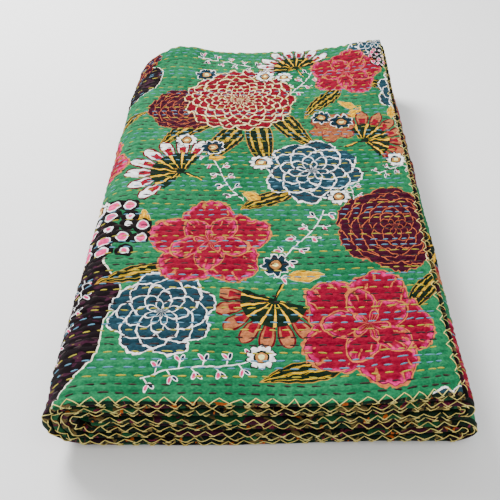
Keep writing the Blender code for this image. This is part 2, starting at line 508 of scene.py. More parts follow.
    def hem_roll(self, angle: np.ndarray, side: int) -> Spots:
        """Spots round one ply's long hem.

        Args:
            angle: How far round each is, from 0 at the outer face to pi at the inner.
            side: 1 for the upper ply, -1 for the lower.

        Returns:
            The spots.
        """
        angle = np.asarray(angle, dtype=float)
        y = -self.roll * np.sin(angle)
        n = self.ply_centre + 0.5 * self.ply * np.cos(angle)
        one = np.ones_like(angle)
        v = y if side > 0 else FLAT_SIZE[0] - y
        return Spots(
            y, side * n, 0 * one, side * self.ply_centre * one,
            (0.0 if side > 0 else 1.0) * one, v, ease(angle / math.pi),
        )

    def outside(self, v: np.ndarray) -> Spots:
        """Spots on the outside of the doubled cloth.

        Args:
            v: Places across its flat width.

        Returns:
            The spots.
        """
        v = np.asarray(v, dtype=float)
        arc = math.pi * self.ply_centre
        share = np.clip((v - self.depth) / arc, 0.0, 1.0)
        fold = self.back_fold(share, self.outer)
        y = np.where(v < self.depth, v, np.where(v > self.depth + arc, FLAT_SIZE[0] - v, fold.y))
        flat = (v < self.depth) | (v > self.depth + arc)
        middle_y = np.where(flat, y, fold.middle_y)
        return Spots(y, fold.n, middle_y, fold.middle_n, fold.ply, v, 0.0 * v)


# ---- the rows of running stitch ----


class Thread(Enum):
    """The colours that the running stitch is sewn in."""

    MAROON = "maroon"
    YELLOW = "yellow"
    BLUE = "blue"


@dataclass
class StitchRow:
    """One row of running stitch: its place across, its thread and each stitch along it."""

    v: float
    thread: Thread
    middles: np.ndarray
    lengths: np.ndarray


@dataclass
class Quilting:
    """The rows of running stitch, and how they pucker the cloth."""

    fold: Fold
    stitch: float = 0.0096
    gap: float = 0.0066
    uneven: float = 0.0013
    least_gap: float = 0.003
    first_end: float = 0.010
    last_end: float = 0.012
    wander: float = 0.0007
    channel: float = 0.0015
    channel_width: float = 0.17
    middle_pull: float = 0.55
    gap_pull: float = 0.35
    crown: float = 0.0010
    crown_sharpness: float = 0.8
    crown_uneven: float = 0.55
    fine_height: float = 0.00055
    broad_height: float = 0.0010
    bend_share: float = 0.45
    drifting: Ripple = Ripple(31, 0.08, 0.40, waves=8)
    fine: Ripple = Ripple(5, 0.007, 0.018, stretch=1.3, waves=26)
    broad: Ripple = Ripple(11, 0.05, 0.16, stretch=1.5)
    seed: int = 7
    order: tuple[Thread, ...] = (
        Thread.MAROON,
        Thread.MAROON,
        Thread.YELLOW,
        Thread.BLUE,
        Thread.BLUE,
        Thread.YELLOW,
    )

    def __post_init__(self) -> None:
        """Sew every row from one short hem to the other."""
        rng = np.random.default_rng(self.seed)
        self.rows: list[StitchRow] = []
        width, length = FLAT_SIZE
        count = int((width - 2 * self.fold.first_row) / self.fold.row_spacing) + 1
        for index in range(count):
            ends = []
            at = self.first_end + rng.uniform(0, self.stitch)
            while at < length - self.last_end:
                size = self.stitch + rng.normal(0, self.uneven)
                ends.append((at, at + size))
                at += size + max(self.gap + rng.normal(0, self.uneven), self.least_gap)
            ends_array = np.array(ends)
            self.rows.append(
                StitchRow(
                    self.fold.first_row + index * self.fold.row_spacing,
                    self.order[index % len(self.order)],
                    ends_array.mean(axis=1),
                    ends_array[:, 1] - ends_array[:, 0],
                )
            )

    def drift(self, u: np.ndarray, v: np.ndarray) -> np.ndarray:
        """How far a row has drifted from its straight line here."""
        return self.wander * self.drifting.at(u, v)

    def pucker(self, u: np.ndarray, v: np.ndarray) -> np.ndarray:
        """How far the outer face stands proud of the plain one.

        Args:
            u: Places along the length.
            v: Places across the width.

        Returns:
            One height for each place, in metres.
        """
        spacing = self.fold.row_spacing
        moved = v - self.drift(u, v)
        index = np.rint((moved - self.fold.first_row) / spacing).astype(int)
        off = (moved - self.fold.first_row) / spacing - index
        index = np.clip(index, 0, len(self.rows) - 1)
        pull = np.zeros(u.shape)
        for number in np.unique(index):
            row = self.rows[number]
            here = index == number
            ends = np.stack([row.middles - 0.5 * row.lengths, row.middles + 0.5 * row.lengths])
            knots = np.stack([ends[0], row.middles, ends[1]], axis=1).ravel()
            depths = np.tile([1.0, self.middle_pull, 1.0], len(row.middles))
            between = 0.5 * (ends[1][:-1] + ends[0][1:])
            knots = np.concatenate([knots, between])
            depths = np.concatenate([depths, np.full(len(between), self.gap_pull)])
            order = np.argsort(knots)
            pull[here] = np.interp(u[here], knots[order], depths[order])
        near = np.exp(-((off / self.channel_width) ** 2))
        crown = np.sin(math.pi * np.abs(off)) ** self.crown_sharpness
        fine = self.fine.at(u, v)
        broad = self.broad.at(u, v)
        uneven = self.crown * crown * (1.0 + self.crown_uneven * fine)
        height = -self.channel * near * pull + uneven
        taut = self.bend_share + (1.0 - self.bend_share) * np.abs(self.fold.route(u)["nz"])
        return (height + self.fine_height * fine) * taut + self.broad_height * broad


# ---- the cloth's surface ----


@dataclass
class Band:
    """A stretch of the cross-section between two of its shared spots."""

    spots: Spots
    share: np.ndarray


Face = tuple[int, ...]
Row = tuple[list[int], np.ndarray]


def join_rows(first: Row, second: Row) -> list[Face]:
    """Fill between two rows of vertices that follow the same line.

    Args:
        first: Vertices of the first row, and where each lies along the line.
        second: The same for the second row.

    Returns:
        Faces.
    """
    (one, at_one), (two, at_two) = first, second
    if len(one) == len(two):
        return [(one[k], one[k + 1], two[k + 1], two[k]) for k in range(len(one) - 1)]
    faces = []
    i = j = 0
    while i < len(one) - 1 or j < len(two) - 1:
        last_one, last_two = i == len(one) - 1, j == len(two) - 1
        if last_two or (not last_one and at_one[i + 1] <= at_two[j + 1]):
            faces.append((one[i], one[i + 1], two[j]))
            i += 1
        else:
            faces.append((one[i], two[j + 1], two[j]))
            j += 1
    return faces


@dataclass
class Cloth:
    """The quilt's one closed surface, swept along the fold route."""

    fold: Fold
    quilting: Quilting
    fine_step: float = 0.0030
    coarse_step: float = 0.014
    bend_step: float = 0.0030
    least_bend_steps: int = 10
    margin: float = 0.014
    lower_margin_share: float = 2.2
    roll_shares: tuple[float, ...] = (0.4, 0.7, 0.92, 1.0)
    hem_lines: tuple[float, ...] = (0.0, 0.0025, 0.0055)
    row_shares: tuple[float, ...] = (0.0, 0.19, 0.5, 0.81)
    plain_lines: tuple[float, ...] = (0.0, 0.003, 0.007, 0.0115, 0.02, 0.04, 0.08, 0.15, 0.25)
    middle_start: float = 0.35
    middle_lines: int = 5
    back_lines: tuple[float, ...] = (0.04, 0.015, 0.0)
    back_steps: int = 10
    hem_steps: int = 6
    inner_steps: int = 4
    lift_fade: float = 0.008

    def fine_line(self) -> np.ndarray:
        """Where the fine faces have lines of vertices, four to a row of stitches.

        Returns:
            Distances from the front.
        """
        fold = self.fold
        rows = fold.first_row + np.arange(fold.rows)[:, None] * fold.row_spacing
        inner = (rows + np.array(self.row_shares) * fold.row_spacing).ravel()
        return np.concatenate([self.hem_lines, inner, [fold.depth]])

    def coarse_line(self) -> np.ndarray:
        """Where the plain faces have theirs, closest together near the hem.

        Returns:
            Distances from the front.
        """
        stop, *ends = [self.fold.depth - line for line in self.back_lines]
        middle = np.linspace(self.middle_start, stop, self.middle_lines)
        return np.array([*self.plain_lines, *middle, *ends])

    def stations(self) -> list[tuple[float, bool, bool]]:
        """Every place along the length with a ring of vertices.

        Returns:
            Its place, whether its upper ply is fine and whether its lower ply is.
        """
        fold = self.fold
        starts, margin = fold.starts, self.margin
        found = [(-fold.roll * share, True, False) for share in self.roll_shares[::-1]]
        places: list[float] = []
        for index, leg in enumerate(fold.legs):
            first, last = starts[index], starts[index + 1]
            if index == 0:
                steps = round(leg.length / self.fine_step)
            elif leg.heading:
                steps = round(leg.length / self.coarse_step)
            else:
                steps = max(round(leg.length / self.bend_step), self.least_bend_steps)
            places += list(np.linspace(first, last, steps, endpoint=False))
        places.append(float(starts[-1]))
        for place in places:
            upper = place <= starts[2] + TINY
            upper |= bool(starts[3] - margin < place < starts[4] + margin)
            reach = self.lower_margin_share * margin
            lower = bool(starts[7] - reach < place < starts[8] + margin)
            found.append((float(place), upper, lower))
        end = FLAT_SIZE[1]
        found += [(end + fold.roll * share, False, False) for share in self.roll_shares]
        return found

    def ring(self, upper: bool, lower: bool) -> list[Band]:
        """The cross-section's outline in eight bands, once round.

        Args:
            upper: Whether the upper ply's outer face is fine.
            lower: Whether the lower ply's outer face is fine.

        Returns:
            The bands in order. Each holds its first spot but not its last.
        """
        fold = self.fold
        line = {True: self.fine_line(), False: self.coarse_line()}
        top, low, plain = line[upper], line[lower][::-1], self.coarse_line()
        turn = np.arange(1, self.back_steps) / self.back_steps
        half = np.arange(1, self.hem_steps) / self.hem_steps * math.pi
        few = np.arange(1, self.inner_steps) / self.inner_steps
        return [
            Band(fold.faces(top, 1, fold.outer), top),
            Band(fold.back_fold(turn, fold.outer), turn),
            Band(fold.faces(low, -1, fold.outer), -low),
            Band(fold.hem_roll(half, -1), half),
            Band(fold.faces(plain, -1, fold.inner), plain),
            Band(fold.back_fold(few[::-1], fold.inner), few),
            Band(fold.faces(plain[::-1], 1, fold.inner), -plain[::-1]),
            Band(fold.hem_roll(half[::-1], 1), half),
        ]

    def points_of(self, u: float, band: Band, outward: bool) -> np.ndarray:
        """Where one band's spots lie at one station.

        Args:
            u: The station's place along the length.
            band: The band.
            outward: Whether it is an outer face, which puckers.

        Returns:
            The points.
        """
        spots = band.spots
        places = np.full(len(spots), u)
        lift, fade = 0.0, 1.0
        if outward:
            front = np.minimum(spots.v, FLAT_SIZE[0] - spots.v)
            for end in (front, u, FLAT_SIZE[1] - u):
                fade = fade * ease(end / self.lift_fade)
            lift = self.quilting.pucker(places, spots.v) * fade
        return self.fold.place(places, spots, lift)

    @staticmethod
    def lines(numbers: list[list[int]], bands: list[Band]) -> list[Row]:
        """Split one ring into four faces and four turns that share their ends.

        Args:
            numbers: The vertices of each band.
            bands: The bands.

        Returns:
            Eight rows, of which the even ones are faces.
        """
        found = []
        for index, band in enumerate(bands):
            if index % 2 == 0:
                found.append((numbers[index], band.share))
                continue
            before, after = numbers[index - 1][-1], numbers[(index + 1) % len(bands)][0]
            row = [before, *numbers[index], after]
            found.append((row, np.linspace(0, 1, len(row))))
        return found

    @staticmethod
    def cap(rows: list[Row]) -> list[Face]:
        """Close one short hem.

        Args:
            rows: The rows of its last ring.

        Returns:
            Faces from the outer rows to the inner ones.
        """
        faces = []
        for outer, inner, flip in ((0, 6, 0), (2, 4, 0), (1, 5, 1)):
            back, back_at = rows[inner]
            faces += join_rows(rows[outer], (back[::-1], flip - back_at[::-1]))
        return [*faces, tuple(rows[3][0]), tuple(rows[7][0])]

    def build(self) -> Object:
        """Make the surface as an object, with its flat places as an attribute.

        Returns:
            The object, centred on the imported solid.
        """
        points: list[np.ndarray] = []
        flats: list[np.ndarray] = []
        rings: list[list[Row]] = []
        count = 0
        kinds = {key: self.ring(*key) for key in ((True, False), (False, True), (False, False))}
        for u, upper, lower in self.stations():
            bands = kinds[(upper, lower)]
            numbers = []
            for index, band in enumerate(bands):
                points.append(self.points_of(u, band, index < 3))
                size = len(band.spots)
                flats.append(
                    np.stack([np.full(size, u), band.spots.v, band.spots.inside], axis=1)
                )
                numbers.append(list(range(count, count + size)))
                count += size
            rings.append(self.lines(numbers, bands))
        faces: list[Face] = []
        for one, two in zip(rings, rings[1:]):
            for row_one, row_two in zip(one, two):
                faces += join_rows(row_one, row_two)
        faces += self.cap(rings[0]) + self.cap(rings[-1])

        places = np.concatenate(points)
        middle = 0.5 * (places.min(axis=0) + places.max(axis=0))
        low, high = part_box(NODE)
        shift = np.array([0.5 * (low[k] + high[k]) - middle[k] for k in range(2)] + [0.0])
        self.fold.offset = shift
        mesh = bpy.data.meshes.new("quilt_cloth")
        mesh.from_pydata((places + shift).tolist(), [], faces)
        shell = bmesh.new()
        shell.from_mesh(mesh)
        bmesh.ops.recalc_face_normals(shell, faces=shell.faces[:])
        shell.to_mesh(mesh)
        shell.free()
        store(mesh, "flat", "POINT", np.concatenate(flats))
        mesh.shade_smooth()
        return add_object("quilt_cloth", mesh)


# ---- the print's layout ----


class Bloom(Enum):
    """The large flowers of the print. The value is the kind's number in the shader."""

    PEONY = 1
    DAHLIA = 2
    TEAL = 3
    PLUM = 4
    SALMON = 5
    WHITE_FAN = 6
    SALMON_FAN = 7


class Spray(Enum):
    """The leaves and stems that lie under the flowers."""

    LEAF = 1
    SPRIG = 2
    BUD = 3


class Small(Enum):
    """The small flowers that lie over the rest."""

    WHITE_DAISY = 1
    TEAL_DAISY = 2
    BERRIES = 3


@dataclass(frozen=True)
class Motif:
    """One motif of the print.

    Attributes:
        kind: What it is.
        x: Its place across the print's repeat, in metres.
        y: Its place along the repeat.
        size: Its half length or radius.
        turn: How far it is turned, in degrees.
        slim: Its half width as a share of its half length, for keeping clear of others.
    """

    kind: Enum
    x: float
    y: float
    size: float
    turn: float = 0.0
    slim: float = 1.0


def motifs(kind: Enum, slim: float, *rows: tuple[float, float, float, float]) -> list[Motif]:
    """Motifs of one kind and slimness, from rows of x, y, size and turn."""
    return [Motif(kind, *row, slim) for row in rows]


@dataclass(frozen=True)
class Pool:
    """A dark patch of the print's ground, an ellipse with a wavering edge."""

    x: float
    y: float
    reach_x: float
    reach_y: float


@dataclass
class PrintLayout:
    """Where the print's motifs lie in one repeat, and how they meet the cloth's faces."""

    fold: Fold
    repeat_x: float = 0.60
    repeat_y: float = 0.80
    reach: float = 1.25
    far: float = 9.0
    blooms: tuple[Motif, ...] = (
        *motifs(
            Bloom.PEONY, 1.0,
            (0.120, 0.238, 0.080, 20), (0.338, 0.668, 0.066, 80), (0.312, 0.098, 0.084, 140),
            (0.510, 0.430, 0.078, 200),
        ),
        *motifs(Bloom.DAHLIA, 1.0, (0.150, 0.592, 0.094, 0), (0.486, 0.205, 0.074, 0)),
        *motifs(Bloom.SALMON, 1.0, (0.300, 0.502, 0.040, 20)),
    )
    unders: tuple[Motif, ...] = (
        *motifs(
            Bloom.TEAL, 1.0,
            (0.262, 0.392, 0.072, 10), (0.072, 0.118, 0.062, 40), (0.455, 0.600, 0.066, 0),
            (0.400, 0.750, 0.056, 0),
        ),
        *motifs(
            Bloom.PLUM, 1.0,
            (0.368, 0.262, 0.084, 30), (0.535, 0.735, 0.066, 0), (0.060, 0.560, 0.062, 0),
        ),
        *motifs(Bloom.WHITE_FAN, 1.0, (0.240, 0.712, 0.058, 25), (0.050, 0.400, 0.066, 60)),
        *motifs(
            Bloom.SALMON_FAN, 1.0,
            (0.366, 0.476, 0.066, -60), (0.196, 0.118, 0.058, 160), (0.500, 0.050, 0.062, 100),
        ),
    )
    sprays: tuple[Motif, ...] = (
        *motifs(
            Spray.LEAF, 0.33,
            (0.078, 0.508, 0.078, 235), (0.230, 0.512, 0.078, -50), (0.184, 0.474, 0.082, -72),
            (0.130, 0.468, 0.080, -108),
        ),
        *motifs(
            Spray.LEAF, 0.45,
            (0.415, 0.612, 0.054, -20), (0.290, 0.580, 0.058, 240), (0.236, 0.036, 0.052, 200),
            (0.400, 0.152, 0.056, 50), (0.040, 0.182, 0.056, 200), (0.440, 0.300, 0.054, -30),
            (0.548, 0.530, 0.058, 30), (0.450, 0.345, 0.058, 120), (0.205, 0.330, 0.054, 35),
        ),
        *motifs(
            Spray.SPRIG, 0.34,
            (0.238, 0.238, 0.074, 62), (0.248, 0.628, 0.074, 65), (0.128, 0.042, 0.070, 15),
            (0.128, 0.385, 0.070, 120), (0.140, 0.712, 0.072, 170), (0.400, 0.700, 0.058, 30),
            (0.316, 0.318, 0.058, 100), (0.560, 0.120, 0.062, 80), (0.410, 0.395, 0.060, 200),
        ),
        *motifs(
            Spray.BUD, 0.5,
            (0.176, 0.330, 0.024, 150), (0.412, 0.548, 0.024, 80), (0.296, 0.776, 0.024, 70),
            (0.028, 0.278, 0.024, 100), (0.242, 0.178, 0.024, 10), (0.340, 0.545, 0.020, 60),
            (0.330, 0.566, 0.020, 150), (0.118, 0.424, 0.020, 20), (0.216, 0.346, 0.020, 95),
        ),
    )
    smalls: tuple[Motif, ...] = (
        *motifs(
            Small.WHITE_DAISY, 1.0,
            (0.192, 0.668, 0.019, 10), (0.226, 0.664, 0.017, 30), (0.186, 0.414, 0.020, 45),
            (0.070, 0.468, 0.018, 0), (0.296, 0.330, 0.018, 0), (0.396, 0.412, 0.020, 0),
            (0.188, 0.056, 0.018, 0), (0.560, 0.320, 0.020, 0),
        ),
        *motifs(
            Small.TEAL_DAISY, 1.0,
            (0.316, 0.520, 0.020, 0), (0.284, 0.532, 0.017, 20), (0.112, 0.450, 0.019, 10),
            (0.205, 0.196, 0.019, 30), (0.088, 0.672, 0.019, 15), (0.440, 0.480, 0.020, 0),
        ),
        *motifs(Small.BERRIES, 1.0, (-0.018, 0.265, 0.066, 0), (0.412, 0.700, 0.034, 60)),
    )
    pools: tuple[Pool, ...] = (
        Pool(-0.086, 0.110, 0.098, 0.190),
        Pool(-0.070, 0.665, 0.072, 0.080),
        Pool(0.446, 0.500, 0.036, 0.130),
    )
    pool_edge: Ripple = Ripple(3, 0.10, 0.25, waves=8)
    pool_wobble: float = 0.18

    def around(self, item: Motif | Pool, x: np.ndarray, y: np.ndarray) -> tuple[np.ndarray, ...]:
        """Measure from the item's nearest repeat.

        Args:
            item: The motif or dark patch.
            x: Places across the print.
            y: Places along it.

        Returns:
            How far each place is from it, in x and in y.
        """
        off_x = (x - item.x + 0.5 * self.repeat_x) % self.repeat_x - 0.5 * self.repeat_x
        off_y = (y - item.y + 0.5 * self.repeat_y) % self.repeat_y - 0.5 * self.repeat_y
        return off_x, off_y

    def local(self, motif: Motif, off_x: np.ndarray, off_y: np.ndarray) -> np.ndarray:
        """Turn offsets into the motif's own coordinates.

        Args:
            motif: The motif.
            off_x: Offsets across the print.
            off_y: Offsets along it.

        Returns:
            Rows of two, in which 1 is the motif's size.
        """
        turn = math.radians(motif.turn)
        along = (off_x * math.cos(turn) + off_y * math.sin(turn)) / motif.size
        across = (off_y * math.cos(turn) - off_x * math.sin(turn)) / motif.size
        return np.stack([along, across], axis=-1)

    def places(self, mesh: Mesh) -> tuple[np.ndarray, np.ndarray]:
        """Each vertex's place in the print.

        Args:
            mesh: The mesh with a flat attribute.

        Returns:
            Its x, which is 0 at the top layer's short hem, and its y.
        """
        flat = fetch(mesh.attributes["flat"].data, "vector", np.float32, 3)
        flat = flat.reshape(-1, 3).astype(float)
        return self.fold.run + self.fold.top_hem_reach - flat[:, 0], flat[:, 1]

    def attach(self, mesh: Mesh, name: str, layer: tuple[Motif, ...]) -> None:
        """Give each face the coordinates of the motif it lies in, as a corner attribute.

        Args:
            mesh: The mesh with a flat attribute.
            name: The attribute to make.
            layer: The motifs of one layer.
        """
        corner = fetch(mesh.loops, "vertex_index", np.int32)
        starts = fetch(mesh.polygons, "loop_start", np.int32)
        totals = fetch(mesh.polygons, "loop_total", np.int32)
        face_of = np.repeat(np.arange(len(starts)), totals)
        x, y = (part[corner] for part in self.places(mesh))
        centre_x, centre_y = (np.add.reduceat(part, starts) / totals for part in (x, y))
        best = np.full(len(starts), self.reach)
        chosen = np.full(len(starts), -1)
        for number, motif in enumerate(layer):
            local = self.local(motif, *self.around(motif, centre_x, centre_y))
            apart = np.hypot(local[:, 0], local[:, 1] / motif.slim)
            nearer = apart < best
            best[nearer] = apart[nearer]
            chosen[nearer] = number
        values = np.full((len(corner), 3), self.far)
        values[:, 2] = 0.0
        for number, motif in enumerate(layer):
            here = chosen[face_of] == number
            faces = face_of[here]
            off_x, off_y = self.around(motif, centre_x[faces], centre_y[faces])
            off_x = off_x + x[here] - centre_x[faces]
            off_y = off_y + y[here] - centre_y[faces]
            values[here, :2] = self.local(motif, off_x, off_y)
            values[here, 2] = motif.kind.value
        store(mesh, name, "CORNER", values)

    def attach_pools(self, mesh: Mesh) -> None:
        """Give each vertex its depth inside the dark patches, above 0 within one.

        Args:
            mesh: The mesh with a flat attribute.
        """
        x, y = self.places(mesh)
        wobble = self.pool_wobble * self.pool_edge.at(x, y)
        deepest = np.full(len(x), -1.0)
        for pool in self.pools:
            off_x, off_y = self.around(pool, x, y)
            out = np.hypot(off_x / pool.reach_x, off_y / pool.reach_y)
            deepest = np.maximum(deepest, 1.0 + wobble - out)
        store(mesh, "pool", "POINT", deepest)

    def apply(self, mesh: Mesh) -> None:
        """Lay the whole print on the cloth.

        Args:
            mesh: The cloth's mesh.
        """
        layers = {
            "under": self.unders,
            "bloom": self.blooms,
            "spray": self.sprays,
            "small": self.smalls,
        }
        for name, layer in layers.items():
            self.attach(mesh, name, layer)
        self.attach_pools(mesh)


# ---- node trees ----


Colour = tuple[float, float, float]


class Term:
    """A value in a shader tree that arithmetic can be done on."""

    def __init__(self, graph: Graph, socket: NodeSocket) -> None:
        """Keep the socket and the graph it belongs to."""
        self.graph = graph
        self.socket = socket

    def do(self, operation: str, *others: Term | float) -> Term:
        """Add a Math node whose first input is this."""
        return self.graph.math(operation, self, *others)

    def __rsub__(self, other: float) -> Term:
        """Difference from a number."""
        return self.graph.math("SUBTRACT", other, self)

    def root(self) -> Term:
        """Square root, of 0 at least."""
        return self.most(0.0).do("SQRT")

    def soft(self, low: float, high: float) -> Term:
        """Rise smoothly.

        Args:
            low: Where the rise starts.
            high: Where it ends.

        Returns:
            0 to 1.
        """
        node = self.graph.node("ShaderNodeMapRange", interpolation_type="SMOOTHSTEP")
        self.graph.put(node.inputs["Value"], self)
        node.inputs["From Min"].default_value = low
        node.inputs["From Max"].default_value = high
        return Term(self.graph, node.outputs["Result"])

    __add__ = __radd__ = partialmethod(do, "ADD")
    __sub__ = partialmethod(do, "SUBTRACT")
    __mul__ = __rmul__ = partialmethod(do, "MULTIPLY")
    __truediv__ = partialmethod(do, "DIVIDE")
    below = partialmethod(do, "LESS_THAN")
    above = partialmethod(do, "GREATER_THAN")
    most = partialmethod(do, "MAXIMUM")
    least = partialmethod(do, "MINIMUM")
    abs = partialmethod(do, "ABSOLUTE")
    floor = partialmethod(do, "FLOOR")
    fract = partialmethod(do, "FRACT")
    sin = partialmethod(do, "SINE")
    cos = partialmethod(do, "COSINE")


class Graph:
    """A shader tree with short calls for its nodes."""

    def __init__(self, tree: NodeTree) -> None:
        """Wrap a tree."""
        self.tree = tree

    def node(self, kind: str, **settings: object) -> Node:
        """Add a node.

        Args:
            kind: Its type.
            settings: Its properties by name.

        Returns:
            The node.
        """
        made = self.tree.nodes.new(kind)
        for name, value in settings.items():
            setattr(made, name, value)
        return made

    def put(self, socket: NodeSocket, value: Term | float | Colour) -> None:
        """Link a term to an input, or set the input.

        Args:
            socket: The input.
            value: The term, number or colour.
        """
        if isinstance(value, Term):
            self.tree.links.new(value.socket, socket)
        elif isinstance(value, tuple):
            socket.default_value = (*value, 1.0) if socket.type == "RGBA" else value
        else:
            socket.default_value = value

    def math(self, operation: str, *values: Term | float) -> Term:
        """Add a Math node.

        Args:
            operation: What it does.
            values: Its inputs.

        Returns:
            Its result.
        """
        node = self.node("ShaderNodeMath", operation=operation)
        for socket, value in zip(node.inputs, values):
            self.put(socket, value)
        return Term(self, node.outputs[0])

    def mix(
        self, share: Term | float, one: Term | Colour, two: Term | Colour, way: str = "MIX"
    ) -> Term:
        """Mix two colours.

        Args:
            share: How much of the second.
            one: The first.
            two: The second.
            way: MIX or MULTIPLY.

        Returns:
            The mixed colour.
        """
        node = self.node("ShaderNodeMix", data_type="RGBA", blend_type=way)
        self.put(node.inputs["Factor"], share)
        self.put(node.inputs[6], one)
        self.put(node.inputs[7], two)
        return Term(self, node.outputs[2])

    def attribute(self, name: str, output: str = "Vector") -> Term:
        """Read an attribute, as a vector or with Fac as a number."""
        return Term(self, self.node("ShaderNodeAttribute", attribute_name=name).outputs[output])

    def parts(self, vector: Term) -> tuple[Term, ...]:
        """Split a vector.

        Args:
            vector: The vector.

        Returns:
            Its three numbers.
        """
        node = self.node("ShaderNodeSeparateXYZ")
        self.put(node.inputs[0], vector)
        return tuple(Term(self, socket) for socket in node.outputs)

    def vector(self, x: Term | float, y: Term | float, z: Term | float = 0.0) -> Term:
        """Join numbers into a vector.

        Args:
            x: The first.
            y: The second.
            z: The third.

        Returns:
            The vector.
        """
        node = self.node("ShaderNodeCombineXYZ")
        for socket, value in zip(node.inputs, (x, y, z)):
            self.put(socket, value)
        return Term(self, node.outputs[0])

    def noise(self, place: Term, scale: float, detail: float = 2.0) -> Term:
        """Noise.

        Args:
            place: Where each place lies.
            scale: How many lumps there are to a unit.
            detail: How many finer octaves are added.

        Returns:
            0 to 1.
        """
        node = self.node("ShaderNodeTexNoise")
        self.put(node.inputs["Vector"], place)
        node.inputs["Scale"].default_value = scale
        node.inputs["Detail"].default_value = detail
        return Term(self, node.outputs["Fac"])

    def cells(self, place: Term, output: str, feature: str, **sizes: float) -> Term:
        """Voronoi cells.

        Args:
            place: Where each place lies.
            output: The output to read.
            feature: F1 or DISTANCE_TO_EDGE.
            sizes: Inputs by name, such as Scale.

        Returns:
            What that output says.
        """
        node = self.node("ShaderNodeTexVoronoi", feature=feature)
        self.put(node.inputs["Vector"], place)
        for name, value in sizes.items():
            node.inputs[name].default_value = value
        return Term(self, node.outputs[output])

    def steps(self, kind: Term, colours: list[Colour]) -> Term:
        """Choose a colour by a whole number from 1 on.

        Args:
            kind: The number.
            colours: One colour for each number.

        Returns:
            The chosen colour.
        """
        node = self.node("ShaderNodeValToRGB")
        ramp = node.color_ramp
        ramp.interpolation = "CONSTANT"
        span = len(colours)
        self.put(node.inputs["Fac"], (kind - 0.5) / float(span))
        ramp.elements[0].position = 0.0
        ramp.elements[0].color = (*colours[0], 1.0)
        ramp.elements[1].position = 1.0
        ramp.elements[1].color = (*colours[-1], 1.0)
        for index in range(1, span):
            ramp.elements.new(index / span).color = (*colours[index], 1.0)
        return Term(self, node.outputs["Color"])


@dataclass
class Finish:
    """A material that is being made: its graph and its shader."""

    name: str

    def __post_init__(self) -> None:
        """Start the material."""
        self.material = bpy.data.materials.new(self.name)
        self.material.use_nodes = True
        self.graph = Graph(self.material.node_tree)
        self.shader = self.material.node_tree.nodes["Principled BSDF"]

    def relief(self, height: Term, strength: float, distance: float) -> None:
        """Raise the surface's shading.

        Args:
            height: How high each place is.
            strength: The bump's strength.
            distance: What a height of 1 stands for, in metres.
        """
        bump = self.graph.node("ShaderNodeBump")
        bump.inputs["Strength"].default_value = strength
        bump.inputs["Distance"].default_value = distance
        self.graph.put(bump.inputs["Height"], height)
        self.graph.put(self.shader.inputs["Normal"], Term(self.graph, bump.outputs["Normal"]))


# ---- the print's drawings ----


TOP_LIGHT = 2.5
TONE_MIDDLE = 0.2165
TONE_SLOPE = 1.22
BRIGHTEST_SEEN = 0.93
REFLECTANCES = (0.002, 0.86)


def ink(hex_code: str) -> Colour:
    """The finish that looks like this colour, six hex digits, in the studio's light.

    Args:
        hex_code: The colour as it is seen.

    Returns:
        Its reflectance, which soft light and a gentle tone curve turn into that colour.
    """
    seen = [min(int(hex_code[k : k + 2], 16) / 255, BRIGHTEST_SEEN) for k in (0, 2, 4)]
    light = [TONE_MIDDLE * (value / (1.0 - value)) ** TONE_SLOPE / TOP_LIGHT for value in seen]
    purer = [value - 0.02 * (max(light) - value) for value in light]
    return tuple(min(max(value, REFLECTANCES[0]), REFLECTANCES[1]) for value in purer)


def inks(hex_codes: str) -> tuple[Colour, ...]:
    """The finishes that look like these colours, with a space between them."""
    return tuple(ink(code) for code in hex_codes.split())


@dataclass(frozen=True)
class Petals:
    """One kind of layered flower: its inks and how its petals lie.

    Attributes:
        line: Ink of the outlines.
        base: Ink at the foot of a petal.
        tip: Ink at its tip.
        rings: How many rings of petals, from the middle out.
        petals: How many petals in half a ring's turn.
        scallop: How far the tips stand out, in rings.
        outline: Outline's width, in rings.
        veins: How many fine veins run down a petal, 0 for none.
    """

    line: Colour
    base: Colour
    tip: Colour
    rings: float
    petals: float
    scallop: float
    outline: float
    veins: float


